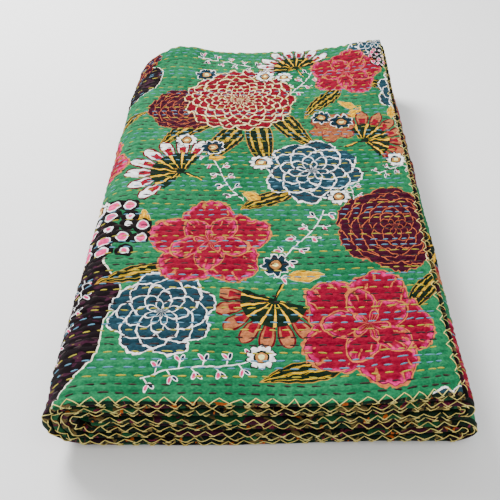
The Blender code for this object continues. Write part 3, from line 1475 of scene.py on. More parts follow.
@dataclass(frozen=True)
class LayeredFlowers:
    """Flowers of overlapping petals in rings, and the small daisies.

    Attributes:
        brush: How far streaks and mottling move the fade from a petal's tip to its base.
        vein_reach: How far the veins run, and how much farther in a streak.
        most: What a count is divided by to be kept in a colour ramp.
    """

    kinds: tuple[Petals, ...]
    wobble: float = 0.16
    wobble_scale: float = 2.2
    ruffle: float = 0.10
    ruffle_scale: float = 11.0
    twist: float = 0.5
    streak_scales: tuple[float, float] = (3.0, 1.1)
    mottle_scale: float = 14.0
    brush: tuple[float, float] = (0.9, 0.5)
    fade: tuple[float, float] = (0.06, 0.34)
    shadow: Colour = ink("30121A")
    shadow_share: float = 0.75
    vein_reach: tuple[float, float] = (0.30, 0.6)
    vein_line: float = 0.82
    vein_bend: float = 3.0
    vein_breaks: tuple[float, float] = (0.40, 0.52)
    most: float = 10.0

    def draw(self, graph: Graph, place: Term) -> tuple[Term, ...]:
        """Draw them in their own coordinates.

        Args:
            graph: The shader tree.
            place: Own coordinates, with the kind's number as third.

        Returns:
            Colour, cover and how far out the place is, 1 at the rim.
        """
        x, y, kind = graph.parts(place)
        wobble = graph.noise(place, self.wobble_scale, 1.0) - 0.5
        ruffle = graph.noise(place, self.ruffle_scale, 1.0) - 0.5
        uneven = 1.0 + self.wobble * wobble + self.ruffle * ruffle
        radius = (x * x + y * y).root() * uneven
        angle = graph.math("ARCTAN2", y, x) + self.twist * wobble

        def of(*rows: Colour) -> Term:
            """Choose a colour by the kind."""
            return graph.steps(kind, list(rows))

        most = self.most
        form = of(*[(k.rings / most, k.petals / most, k.scallop) for k in self.kinds])
        rings, petals, scallop = graph.parts(form)
        rings, petals = rings * most, petals * most
        trim = of(*[(k.outline, k.veins / most, 0.0) for k in self.kinds])
        outline, veins, _ = graph.parts(trim)
        line, base, tip = (
            of(*[getattr(k, name) for k in self.kinds]) for name in ("line", "base", "tip")
        )
        out, turn = radius * rings, angle * petals

        def rim(ring: Term) -> Term:
            """How far out the tips of one ring reach at this angle."""
            return ring + scallop * (turn + ring * (0.5 * math.pi)).cos().abs()

        inner = out.floor()
        ring = inner + out.above(rim(inner))
        gap = rim(ring) - out
        round_it, outwards = self.streak_scales
        streak = graph.noise(graph.vector(turn * round_it, out * outwards, kind), 1.0, 2.0)
        mottle = graph.noise(place, self.mottle_scale, 2.0)
        depth = gap + (streak - 0.5) * self.brush[0] + (mottle - 0.5) * self.brush[1]
        colour = graph.mix(depth.soft(*self.fade), tip, base)
        vein = (turn * (veins * most) + (streak - 0.5) * self.vein_bend).cos()
        reach = self.vein_reach[0] + streak * self.vein_reach[1]
        vein = vein.above(self.vein_line) * veins.above(0.05) * gap.below(reach)
        colour = graph.mix(vein * mottle.soft(*self.vein_breaks), colour, line)
        colour = graph.mix(gap.below(outline * 1.5) * self.shadow_share, colour, self.shadow)
        colour = graph.mix(gap.below(outline), colour, line)
        mine = kind.above(0.5) * kind.below(len(self.kinds) + 0.5)
        return colour, ring.below(rings - 0.2) * mine, radius


@dataclass(frozen=True)
class Fans:
    """Fan flowers: long petals over a striped calyx and a stem, in shares of their size."""

    foot: float = 0.35
    length: float = 1.25
    petals: float = 8.0
    petal_middle: float = 0.70
    petal_reach: float = 0.30
    petal_half_width: float = 0.46
    outline: float = 0.10
    tongue_reach: float = 0.76
    blush: float = 0.6
    blush_reach: tuple[float, float] = (0.70, 0.55)
    calyx_reach: float = 0.56
    calyx_foot: float = -0.04
    stripes: float = 7.0
    stripe_lean: float = 0.4
    stripe_start: float = 0.10
    stripe_half_width: float = 0.11
    stem_half_width: float = 0.035
    stem_length: float = 0.55
    white: Colour = ink("F4ECE4")
    salmon: Colour = ink("C49468")
    tongue: Colour = ink("AE1E3A")
    line: Colour = ink("8E1626")
    green: Colour = ink("16301C")
    gold: Colour = ink("E6CC50")

    def draw(self, graph: Graph, place: Term) -> tuple[Term, ...]:
        """Draw them in their own coordinates.

        Args:
            graph: The shader tree.
            place: Own coordinates, with the kind's number as third.

        Returns:
            Colour and cover.
        """
        x, y, kind = graph.parts(place)
        y = y + self.foot
        radius = (x * x + y * y).root() / self.length
        angle = graph.math("ARCTAN2", y, x) / math.pi
        off = ((angle * self.petals).fract() - 0.5).abs()
        swell = (radius - self.petal_middle) / self.petal_reach
        half = self.petal_half_width * (1.0 - swell * swell).root()
        petal = off.below(half) * y.above(0.0)
        face = graph.mix(kind.below(Bloom.WHITE_FAN.value + 0.5), self.salmon, self.white)
        tongue = off.below(half * 0.5) * radius.below(self.tongue_reach)
        blush = radius.soft(*self.blush_reach) * self.blush
        face = graph.mix(tongue.most(blush), face, self.tongue)
        colour = graph.mix(off.above(half - self.outline), face, self.line)
        calyx = radius.below(self.calyx_reach) * y.above(self.calyx_foot)
        stripe = (angle * self.stripes + self.stripe_lean * radius).fract()
        stripe = (stripe - 0.5).abs().below(self.stripe_half_width)
        green = graph.mix(stripe * radius.above(self.stripe_start), self.green, self.gold)
        stem = x.abs().below(self.stem_half_width) * y.below(0.0) * y.above(-self.stem_length)
        inner = calyx.most(stem)
        cover = petal.most(inner) * kind.above(Bloom.WHITE_FAN.value - 0.5)
        return graph.mix(inner, colour, green), cover


@dataclass(frozen=True)
class Leaves:
    """Pointed leaves with a light midrib and side veins, and yellow buds."""

    curve: float = 0.10
    bend: float = 2.0
    half_width: float = 0.27
    bud_more_width: float = 0.15
    taper: float = 0.25
    rough_scales: tuple[float, float, float] = (2.2, 14.0, 1.6)
    lanes: float = 1.8
    lane_wander: float = 0.8
    vein_share: float = 0.20
    vein_break: float = -0.12
    vein_margin: float = 0.02
    edge: float = 0.017
    midrib: float = 0.010
    green: Colour = ink("142C19")
    vein: Colour = ink("D2C040")
    line: Colour = ink("C6A850")
    bud: Colour = ink("D2B61A")
    bud_vein: Colour = ink("E0D054")
    bud_line: Colour = ink("EFE6C8")

    def draw(self, graph: Graph, place: Term) -> tuple[Term, ...]:
        """Draw them in their own coordinates.

        Args:
            graph: The shader tree.
            place: Own coordinates, with the kind's number as third.

        Returns:
            Colour and cover.
        """
        x, y, kind = graph.parts(place)
        y = y + self.curve * (x * self.bend).sin()
        bud = kind.above(Spray.BUD.value - 0.5)
        width = self.half_width + self.bud_more_width * bud
        half = width * (1.0 - x * x) * (1.0 - self.taper * x)
        size = y.abs()
        along, across, scale = self.rough_scales
        rough = graph.noise(graph.vector(x * along, y * across, kind), scale, 1.0) - 0.5
        lane = (size / half.most(0.01) * self.lanes + rough * self.lane_wander).fract()
        vein = lane.below(self.vein_share) * rough.above(self.vein_break)
        vein = vein * size.below(half - self.vein_margin)
        base, light, line = (
            graph.mix(bud, *pair)
            for pair in (
                (self.green, self.bud), (self.vein, self.bud_vein), (self.line, self.bud_line)
            )
        )
        colour = graph.mix(vein.most(size.below(self.midrib)), base, light)
        colour = graph.mix(size.above(half - self.edge), colour, line)
        mine = kind.below(Spray.LEAF.value + 0.5).most(bud)
        return colour, size.below(half) * kind.above(0.5) * mine


@dataclass(frozen=True)
class Sprigs:
    """Pale stems with twigs, each of which bears a pink bud and a blue one."""

    curve: float = 0.07
    bend: float = 3.0
    half_line: float = 0.011
    twigs: float = 5.5
    twig_length: float = 0.15
    twig_lean: float = 0.4
    twig_back: float = 0.05
    bud_back: float = 0.006
    bud_out: float = 0.175
    bud_apart: float = 0.038
    bud_lean: float = 0.40
    bud_reach: tuple[float, float] = (0.00140, 0.0050)
    heart_share: float = 0.66
    pale: Colour = ink("F2EEE6")
    hearts: tuple[Colour, ...] = inks("D860A4 183A4E")

    def draw(self, graph: Graph, place: Term) -> tuple[Term, ...]:
        """Draw them in their own coordinates.

        Args:
            graph: The shader tree.
            place: Own coordinates, with the kind's number as third.

        Returns:
            Colour and cover.
        """
        x, y, kind = graph.parts(place)
        y = y + self.curve * (x * self.bend).sin()
        within = x.abs().below(1.0)
        stem = y.abs().below(self.half_line) * within
        step = (x + 1.0) * self.twigs
        side = (step.floor() * 0.5).fract().above(0.2) * 2.0 - 1.0
        along = (step.fract() - 0.5) / self.twigs
        away = y * side
        twig = (along + self.twig_back - away * self.twig_lean).abs().below(self.half_line)
        twig = twig * away.above(0.0) * away.below(self.twig_length)
        colour: Term | Colour = self.pale
        bud = twig
        for lean, heart in zip((-1.0, 1.0), self.hearts):
            bud_y = away - self.bud_out
            bud_x = along - self.bud_back - self.bud_apart * lean
            bud_x = bud_x - bud_y * (self.bud_lean * lean)
            wide, tall = self.bud_reach
            reach = ((bud_x * bud_x) / wide + (bud_y * bud_y) / tall).root()
            colour = graph.mix(reach.below(self.heart_share), colour, heart)
            bud = bud.most(reach.below(1.0))
        mine = kind.above(Spray.SPRIG.value - 0.5) * kind.below(Spray.SPRIG.value + 0.5)
        return colour, stem.most(twig).most(bud) * within * mine


@dataclass(frozen=True)
class Berries:
    """Clusters of pink berries, each ringed in white and black."""

    scale: float = 2.9
    scatter: float = 0.35
    berry: float = 0.33
    ring: float = 0.40
    cover: float = 0.62
    cluster: float = 0.92
    pink: Colour = ink("DA70AE")
    white: Colour = ink("F0ECE4")
    black: Colour = ink("1A1414")

    def draw(self, graph: Graph, place: Term) -> tuple[Term, ...]:
        """Draw them in their own coordinates.

        Args:
            graph: The shader tree.
            place: Own coordinates, with the kind's number as third.

        Returns:
            Colour and cover.
        """
        x, y, kind = graph.parts(place)
        near, middle = (
            graph.cells(
                graph.vector(x, y), output, "F1", Scale=self.scale, Randomness=self.scatter
            )
            for output in ("Distance", "Position")
        )
        middle_x, middle_y, _ = graph.parts(middle)
        reach = (middle_x * middle_x + middle_y * middle_y).root()
        colour = graph.mix(near.above(self.berry), self.pink, self.white)
        colour = graph.mix(near.above(self.ring), colour, self.black)
        cover = near.below(self.cover) * reach.below(self.cluster)
        return colour, cover * kind.above(Small.BERRIES.value - 0.5)


# ---- the finishes ----


@dataclass(frozen=True)
class FlatCloth:
    """Places on the flat cloth in a shader tree, in metres."""

    graph: Graph
    along: Term
    across: Term

    def plane(self, stretch: float = 1.0) -> Term:
        """The places as a vector, with the length scaled by the stretch."""
        return self.graph.vector(self.along * stretch, self.across)

    def noise(self, scale: float, detail: float, stretch: float = 1.0) -> Term:
        """Noise from 0 to 1, drawn out along the length by a stretch under 1."""
        return self.graph.noise(self.plane(stretch), scale, detail)


@dataclass(frozen=True)
class PrintedCotton:
    """The quilt's printed cotton: ground, motifs, weave, puckers and some painted shade."""

    ground: Colour = ink("2C9262")
    ground_light: Colour = ink("3CA072")
    dark: Colour = ink("190E13")
    dark_purple: Colour = ink("54203C")
    dark_fleck: Colour = ink("8C8038")
    pool_line: Colour = ink("E8E4D8")
    pool_line_width: float = 0.018
    pool_ragged: float = 0.12
    blooms: LayeredFlowers = LayeredFlowers((
        Petals(*inks("CE9C68 AC0640 D444A0"), 2.6, 2.5, 0.75, 0.085, 9.0),
        Petals(*inks("F0D8C4 A01430 D4584A"), 8.6, 9.0, 0.66, 0.25, 0.0),
        Petals(*inks("EEF0EC 28586A 54869A"), 5.6, 4.0, 0.90, 0.22, 0.0),
        Petals(*inks("CC9060 560A2A 841840"), 11.0, 3.0, 1.10, 0.17, 0.0),
        Petals(*inks("A42A3C B88254 D0A278"), 2.8, 3.0, 0.80, 0.10, 8.0),
    ))
    daisies: LayeredFlowers = LayeredFlowers((
        Petals(*inks("1C1416 F4F0E8 F2E0DC"), 1.3, 5.0, 0.34, 0.10, 0.0),
        Petals(*inks("F0EEE6 163A50 28566C"), 1.3, 4.0, 0.34, 0.13, 0.0),
    ))
    daisy_eyes: tuple[tuple[float, Colour], ...] = (
        (0.50, ink("1E2E22")),
        (0.38, ink("C8A468")),
        (0.20, ink("F0E6C0")),
    )
    # Width of the band along the long hems of the under layers that takes the dark reverse print:
    # partly a turned hem, partly painted shade between the plies.
    turned_hem_and_shade_width: float = 0.007
    top_run: float = 0.50
    # The reverse's inks are kept dark, partly as painted shade between the plies.
    reverse: tuple[Colour, ...] = inks(
        "1A3A28 12201A 1B3E2B 1A1412 267044 16301F 2C1420 "
        "17281D 15301F 1A1613 1C4C30 561C34 14261B 20683C"
    )
    reverse_flecks: tuple[Colour, ...] = inks("C07A34 8C2C50")
    reverse_line: Colour = ink("8C7A48")
    reverse_scale: float = 72.0
    reverse_bend: float = 0.03
    fleck_stretch: float = 0.45
    # The colour multiplier below is partly random wear and cotton tone, partly painted shade of
    # fine wrinkles.
    darkest: float = 0.66
    wear_and_wrinkle_shade_light: float = 0.42
    cotton_tone_and_shade_light: float = 0.18
    yarn: float = 0.0009
    weave_height: float = 0.00004
    crease_height: float = 0.0011
    pucker_height: float = 0.0027

    def background(self, flat: FlatCloth) -> Term:
        """The green ground and the dark patches on it.

        Args:
            flat: Places on the flat cloth.

        Returns:
            Its colour.
        """
        graph = flat.graph
        ground = graph.mix(
            flat.noise(9.0, 3.0).soft(0.35, 0.65), self.ground, self.ground_light
        )
        fleck = flat.noise(150.0, 1.0, self.fleck_stretch)
        ragged = (flat.noise(24.0, 1.0) - 0.5) * self.pool_ragged
        pool = graph.attribute("pool", "Fac") + ragged
        dark = graph.mix(fleck.above(0.58), self.dark, self.dark_purple)
        dark = graph.mix(fleck.above(0.70), dark, self.dark_fleck)
        inside = pool.above(0.0)
        colour = graph.mix(inside, ground, dark)
        return graph.mix(inside * pool.below(self.pool_line_width), colour, self.pool_line)

    def back_print_and_ply_shade(self, flat: FlatCloth) -> Term:
        """The busier, darker print of the reverse, which shows at the hems and between plies; its
        darkness is partly painted shade between the plies.

        Args:
            flat: Places on the flat cloth.

        Returns:
            Its colour.
        """
        graph, along, across = flat.graph, flat.along, flat.across
        bend = (flat.noise(45.0, 2.0) - 0.5) * self.reverse_bend
        streaked = graph.vector(along * 0.5 + bend, across + bend)
        cell = graph.cells(streaked, "Color", "F1", Scale=self.reverse_scale)
        edge = graph.cells(streaked, "Distance", "DISTANCE_TO_EDGE", Scale=self.reverse_scale)
        lot, _, _ = graph.parts(cell)
        colour = graph.steps(lot * float(len(self.reverse)) + 0.5, list(self.reverse))
        for number, fleck in enumerate(self.reverse_flecks):
            spread = graph.vector(along * self.fleck_stretch + number, across + bend)
            patch = graph.noise(spread, 30.0, 1.0).above(0.50)
            speck = graph.noise(spread, 170.0, 1.0).above(0.64)
            colour = graph.mix(speck * patch, colour, fleck)
        broken = flat.noise(48.0, 1.0).above(0.52)
        return graph.mix(edge.below(0.05) * broken, colour, self.reverse_line)

    def build(self) -> Material:
        """Make the material.

        Returns:
            The material for the cloth.
        """
        finish = Finish("printed_cotton")
        graph, shader = finish.graph, finish.shader
        along, across, inside = graph.parts(graph.attribute("flat"))
        flat = FlatCloth(graph, along, across)
        colour = self.background(flat)
        under, spray, bloom, small = (
            graph.attribute(name) for name in ("under", "spray", "bloom", "small")
        )
        for drawing, place in (
            (Sprigs(), spray),
            (Leaves(), spray),
            (self.blooms, under),
            (Fans(), under),
            (self.blooms, bloom),
        ):
            drawn, cover, *_ = drawing.draw(graph, place)
            colour = graph.mix(cover, colour, drawn)
        drawn, cover, out = self.daisies.draw(graph, small)
        for reach, eye in self.daisy_eyes:
            drawn = graph.mix(out.below(reach), drawn, eye)
        colour = graph.mix(cover, colour, drawn)
        drawn, cover = Berries().draw(graph, small)
        colour = graph.mix(cover, colour, drawn)

        # Partly real, partly painted shade: the dark reverse print covers the faces between the
        # plies and the inner side of each hem roll. As painted shade between the plies, it also
        # covers the long hems of the under layers.
        hem = across.least(FLAT_SIZE[0] - across).below(self.turned_hem_and_shade_width)
        under_layer_shade = along.above(self.top_run).most(across.above(0.5 * FLAT_SIZE[0]))
        reverse = inside.soft(0.06, 0.16).most(hem * under_layer_shade)
        colour = graph.mix(reverse, colour, self.back_print_and_ply_shade(flat))
        # Painted shade: two noises darken and lighten the colour. They are partly random wear and
        # cotton tone, partly the light and shade of fine wrinkles.
        wear_and_wrinkle_shade = flat.noise(380.0, 2.0, 0.7)
        cotton = flat.noise(60.0, 3.0)
        wear_and_wrinkle_shade_share, cotton_tone_and_shade_share = (lumps.soft(0.33, 0.67) for lumps in (wear_and_wrinkle_shade, cotton))
        shade = self.darkest + wear_and_wrinkle_shade_share * self.wear_and_wrinkle_shade_light + cotton_tone_and_shade_share * self.cotton_tone_and_shade_light
        shaded = graph.mix(1.0, colour, graph.vector(shade, shade, shade), "MULTIPLY")
        graph.put(shader.inputs["Base Color"], shaded)

        yarns = [(way * (2 * math.pi / self.yarn)).sin() for way in (along, across)]
        weave = yarns[0] * yarns[1] * self.weave_height
        crease = flat.noise(260.0, 3.0, 0.55)
        pucker = flat.noise(95.0, 2.0, 0.6)
        height = weave + crease * self.crease_height + pucker * self.pucker_height
        finish.relief(height, 0.9, 1.0)
        graph.put(shader.inputs["Roughness"], 0.80 + 0.12 * wear_and_wrinkle_shade)
        shader.inputs["Specular IOR Level"].default_value = 0.05
        shader.inputs["Sheen Weight"].default_value = 0.02
        shader.inputs["Sheen Roughness"].default_value = 0.5
        return finish.material


@dataclass(frozen=True)
class TwistedThread:
    """Cotton thread of two twisted plies, with painted shade in the grooves of its twist."""

    name: str
    colour: Colour
    shade: Colour
    twist: float = 0.0011

    def build(self) -> Material:
        """Make the material.

        Returns:
            The material for a thread piece.
        """
        finish = Finish(self.name)
        graph, shader = finish.graph, finish.shader
        place = Term(graph, graph.node("ShaderNodeTexCoord").outputs["Object"])
        x, y, z = graph.parts(place)
        twist = ((x + y * 0.6 + z * 0.8) * (2 * math.pi / self.twist)).sin()
        tone = graph.noise(place, 40.0, 2.0)
        # Painted shade: the darker shade colour fills the grooves of the twist.
        share = (0.5 + 0.3 * twist + (tone - 0.5) * 0.9).soft(0.1, 0.9)
        graph.put(shader.inputs["Base Color"], graph.mix(share, self.shade, self.colour))
        finish.relief(twist, 0.6, 0.0003)
        graph.put(shader.inputs["Roughness"], 0.55 + 0.2 * tone)
        shader.inputs["Specular IOR Level"].default_value = 0.22
        shader.inputs["Sheen Weight"].default_value = 0.05
        return finish.material


# ---- geometry node trees ----


class Sewing:
    """Makes thread pieces with Geometry Nodes, and turns them into plain meshes."""

    @staticmethod
    def tree(
        name: str, sizes: dict[str, float], kinds: dict[str, str], links: tuple[str, ...]
    ) -> tuple[NodeTree, dict[str, Node]]:
        """Make a tree that ends in Realize Instances and Set Material.

        Args:
            name: The tree's name.
            sizes: Its inputs between the geometry and the material, with their values.
            kinds: The type of each node, by a short name.
            links: Each as node.output > node.input, from start to real.

        Returns:
            The tree, and its nodes by name.
        """
        tree = bpy.data.node_groups.new(name, "GeometryNodeTree")
        face = tree.interface
        face.new_socket("Geometry", in_out="INPUT", socket_type="NodeSocketGeometry")
        for label, value in sizes.items():
            kind = "NodeSocketInt" if isinstance(value, int) else "NodeSocketFloat"
            face.new_socket(label, in_out="INPUT", socket_type=kind).default_value = value
        face.new_socket("Material", in_out="INPUT", socket_type="NodeSocketMaterial")
        face.new_socket("Geometry", in_out="OUTPUT", socket_type="NodeSocketGeometry")
        kinds = {
            "start": "NodeGroupInput",
            **kinds,
            "real": "GeometryNodeRealizeInstances",
            "paint": "GeometryNodeSetMaterial",
            "end": "NodeGroupOutput",
        }
        nodes = {label: tree.nodes.new(kind) for label, kind in kinds.items()}
        for link in (
            *links,
            "real.Geometry > paint.Geometry",
            "start.Material > paint.Material",
            "paint.Geometry > end.Geometry",
        ):
            (one, output), (two, socket) = (side.split(".") for side in link.split(" > "))
            tree.links.new(nodes[one].outputs[output], nodes[two].inputs[socket])
        return tree, nodes

    @classmethod
    def stitch_tree(cls) -> NodeTree:
        """A stitch on every point, lying along its own direction.

        Returns:
            The tree.
        """
        attributes = {"along": "FLOAT_VECTOR", "up": "FLOAT_VECTOR", "reach": "FLOAT"}
        tree, nodes = cls.tree(
            "running_stitch",
            {"Half Width": 0.0008, "Half Height": 0.0005},
            {
                "ball": "GeometryNodeMeshUVSphere",
                "smooth": "GeometryNodeSetShadeSmooth",
                "lie": "GeometryNodeTransform",
                "place": "GeometryNodeInstanceOnPoints",
                "turn": "FunctionNodeAxesToRotation",
                "size": "ShaderNodeCombineXYZ",
                **dict.fromkeys(attributes, "GeometryNodeInputNamedAttribute"),
            },
            (
                "ball.Mesh > smooth.Geometry",
                "smooth.Geometry > lie.Geometry",
                "start.Geometry > place.Points",
                "lie.Geometry > place.Instance",
                "along.Attribute > turn.Primary Axis",
                "up.Attribute > turn.Secondary Axis",
                "turn.Rotation > place.Rotation",
                "reach.Attribute > size.X",
                "start.Half Width > size.Y",
                "start.Half Height > size.Z",
                "size.Vector > place.Scale",
                "place.Instances > real.Geometry",
            ),
        )
        for name, kind in attributes.items():
            nodes[name].data_type = kind
            nodes[name].inputs["Name"].default_value = name
        for name, value in (("Segments", 6), ("Rings", 6), ("Radius", 1.0)):
            nodes["ball"].inputs[name].default_value = value
        nodes["lie"].inputs["Rotation"].default_value = (0.0, 0.5 * math.pi, 0.0)
        nodes["turn"].primary_axis = "X"
        nodes["turn"].secondary_axis = "Z"
        return tree

    @classmethod
    def thread_tree(cls) -> NodeTree:
        """A round thread along every chain of edges.

        Returns:
            The tree.
        """
        tree, nodes = cls.tree(
            "hem_thread",
            {"Radius": 0.0006, "Sides": 5},
            {
                "curve": "GeometryNodeMeshToCurve",
                "ring": "GeometryNodeCurvePrimitiveCircle",
                "tube": "GeometryNodeCurveToMesh",
                "smooth": "GeometryNodeSetShadeSmooth",
            },
            (
                "start.Geometry > curve.Mesh",
                "start.Sides > ring.Resolution",
                "start.Radius > ring.Radius",
                "curve.Curve > tube.Curve",
                "ring.Curve > tube.Profile Curve",
                "tube.Mesh > smooth.Geometry",
                "smooth.Geometry > real.Geometry",
            ),
        )
        nodes["tube"].inputs["Fill Caps"].default_value = True
        return tree

    @staticmethod
    def run(name: str, source: Mesh, tree: NodeTree, values: dict[str, object]) -> Object:
        """Run a tree on a mesh and keep what it makes as a plain piece.

        Args:
            name: The piece's name.
            source: Points or edges for the tree.
            tree: The geometry tree.
            values: Its inputs by name.

        Returns:
            The piece, with no modifier left on it.
        """
        holder = add_object(f"{name}_source", source)
        modifier = holder.modifiers.new("sewing", "NODES")
        modifier.node_group = tree
        for item in tree.interface.items_tree:
            if item.item_type == "SOCKET" and item.in_out == "INPUT" and item.name in values:
                modifier[item.identifier] = values[item.name]
        graph = bpy.context.evaluated_depsgraph_get()
        made = bpy.data.meshes.new_from_object(holder.evaluated_get(graph))
        made.name = name
        holder.modifiers.remove(modifier)
        bpy.data.objects.remove(holder, do_unlink=True)
        return add_object(name, made)


@dataclass
class RunningStitches:
    """The running stitch that shows, a piece for each thread colour."""

    fold: Fold
    quilting: Quilting
    half_width: float = 0.00130
    half_height: float = 0.00058
    lift: float = 0.00042
    tilt: float = 0.0004
    above_floor: float = 0.004
    fold_margin: float = 0.002
    past_top: float = 0.02
    before_wrap: float = 0.014
    past_wrap: float = 0.010
    before_end: float = 0.030
    probe: float = 0.001
    bedded_share: float = 0.45
    seed: int = 19

    def windows(self, row: StitchRow) -> list[tuple[float, float]]:
        """Where one row's stitches can be seen.

        Args:
            row: The row.

        Returns:
            Stretches of the length.
        """
        starts, fold = self.fold.starts, self.fold
        fold_end = fold.depth + math.pi * fold.ply_centre
        if row.v < fold.depth - self.fold_margin:
            wrap = (starts[3] - self.before_wrap, starts[4] + self.past_wrap)
            return [(0.0, starts[2] + self.past_top), wrap]
        if row.v < fold_end + 2 * self.fold_margin:
            return [(0.0, FLAT_SIZE[1])]
        return [(starts[7] - self.before_end, starts[8] + self.past_wrap)]

    def spots(self, thread: Thread) -> dict[str, np.ndarray]:
        """Where the stitches of one colour lie.

        Args:
            thread: The colour.

        Returns:
            Their middles, directions, face normals and half lengths.
        """
        rng = np.random.default_rng(self.seed + len(thread.value))
        middles, lengths, across = [], [], []
        for row in self.quilting.rows:
            if row.thread is not thread:
                continue
            seen = np.zeros(len(row.middles), dtype=bool)
            for low, high in self.windows(row):
                seen |= (row.middles > low) & (row.middles < high)
            middles.append(row.middles[seen])
            lengths.append(row.lengths[seen])
            across.append(np.full(int(seen.sum()), row.v))
        u, size, v = (np.concatenate(part) for part in (middles, lengths, across))
        v = v + self.quilting.drift(u, v)
        off = rng.normal(0, self.tilt, len(u))
        rough = self.fold.place(u, self.fold.outside(v), self.lift)
        clear = rough[:, 2] > self.above_floor
        u, size, v, off = u[clear], size[clear], v[clear], off[clear]
        lift = self.quilting.pucker(u, v) + self.lift
        spots = self.fold.outside(v)
        at = self.fold.place(u, spots, lift)
        above = self.fold.place(u, spots, lift + self.probe)
        ends = [
            self.fold.place(
                u + side * self.bedded_share * size, self.fold.outside(v + side * off), lift
            )
            for side in (-1, 1)
        ]
        along = ends[1] - ends[0]
        return {
            "place": at,
            "along": along / np.linalg.norm(along, axis=1)[:, None],
            "up": (above - at) / self.probe,
            "reach": 0.5 * size,
        }

    def build(self, thread: Thread, material: Material) -> Object:
        """Make the piece for one colour.

        Args:
            thread: The colour.
            material: Its finish.

        Returns:
            The piece.
        """
        found = self.spots(thread)
        mesh = bpy.data.meshes.new(f"stitches_{thread.value}_points")
        mesh.from_pydata(found["place"].tolist(), [], [])
        for name in ("along", "up", "reach"):
            store(mesh, name, "POINT", found[name])
        values = {
            "Half Width": self.half_width,
            "Half Height": self.half_height,
            "Material": material,
        }
        return Sewing.run(f"running_stitch_{thread.value}", mesh, Sewing.stitch_tree(), values)


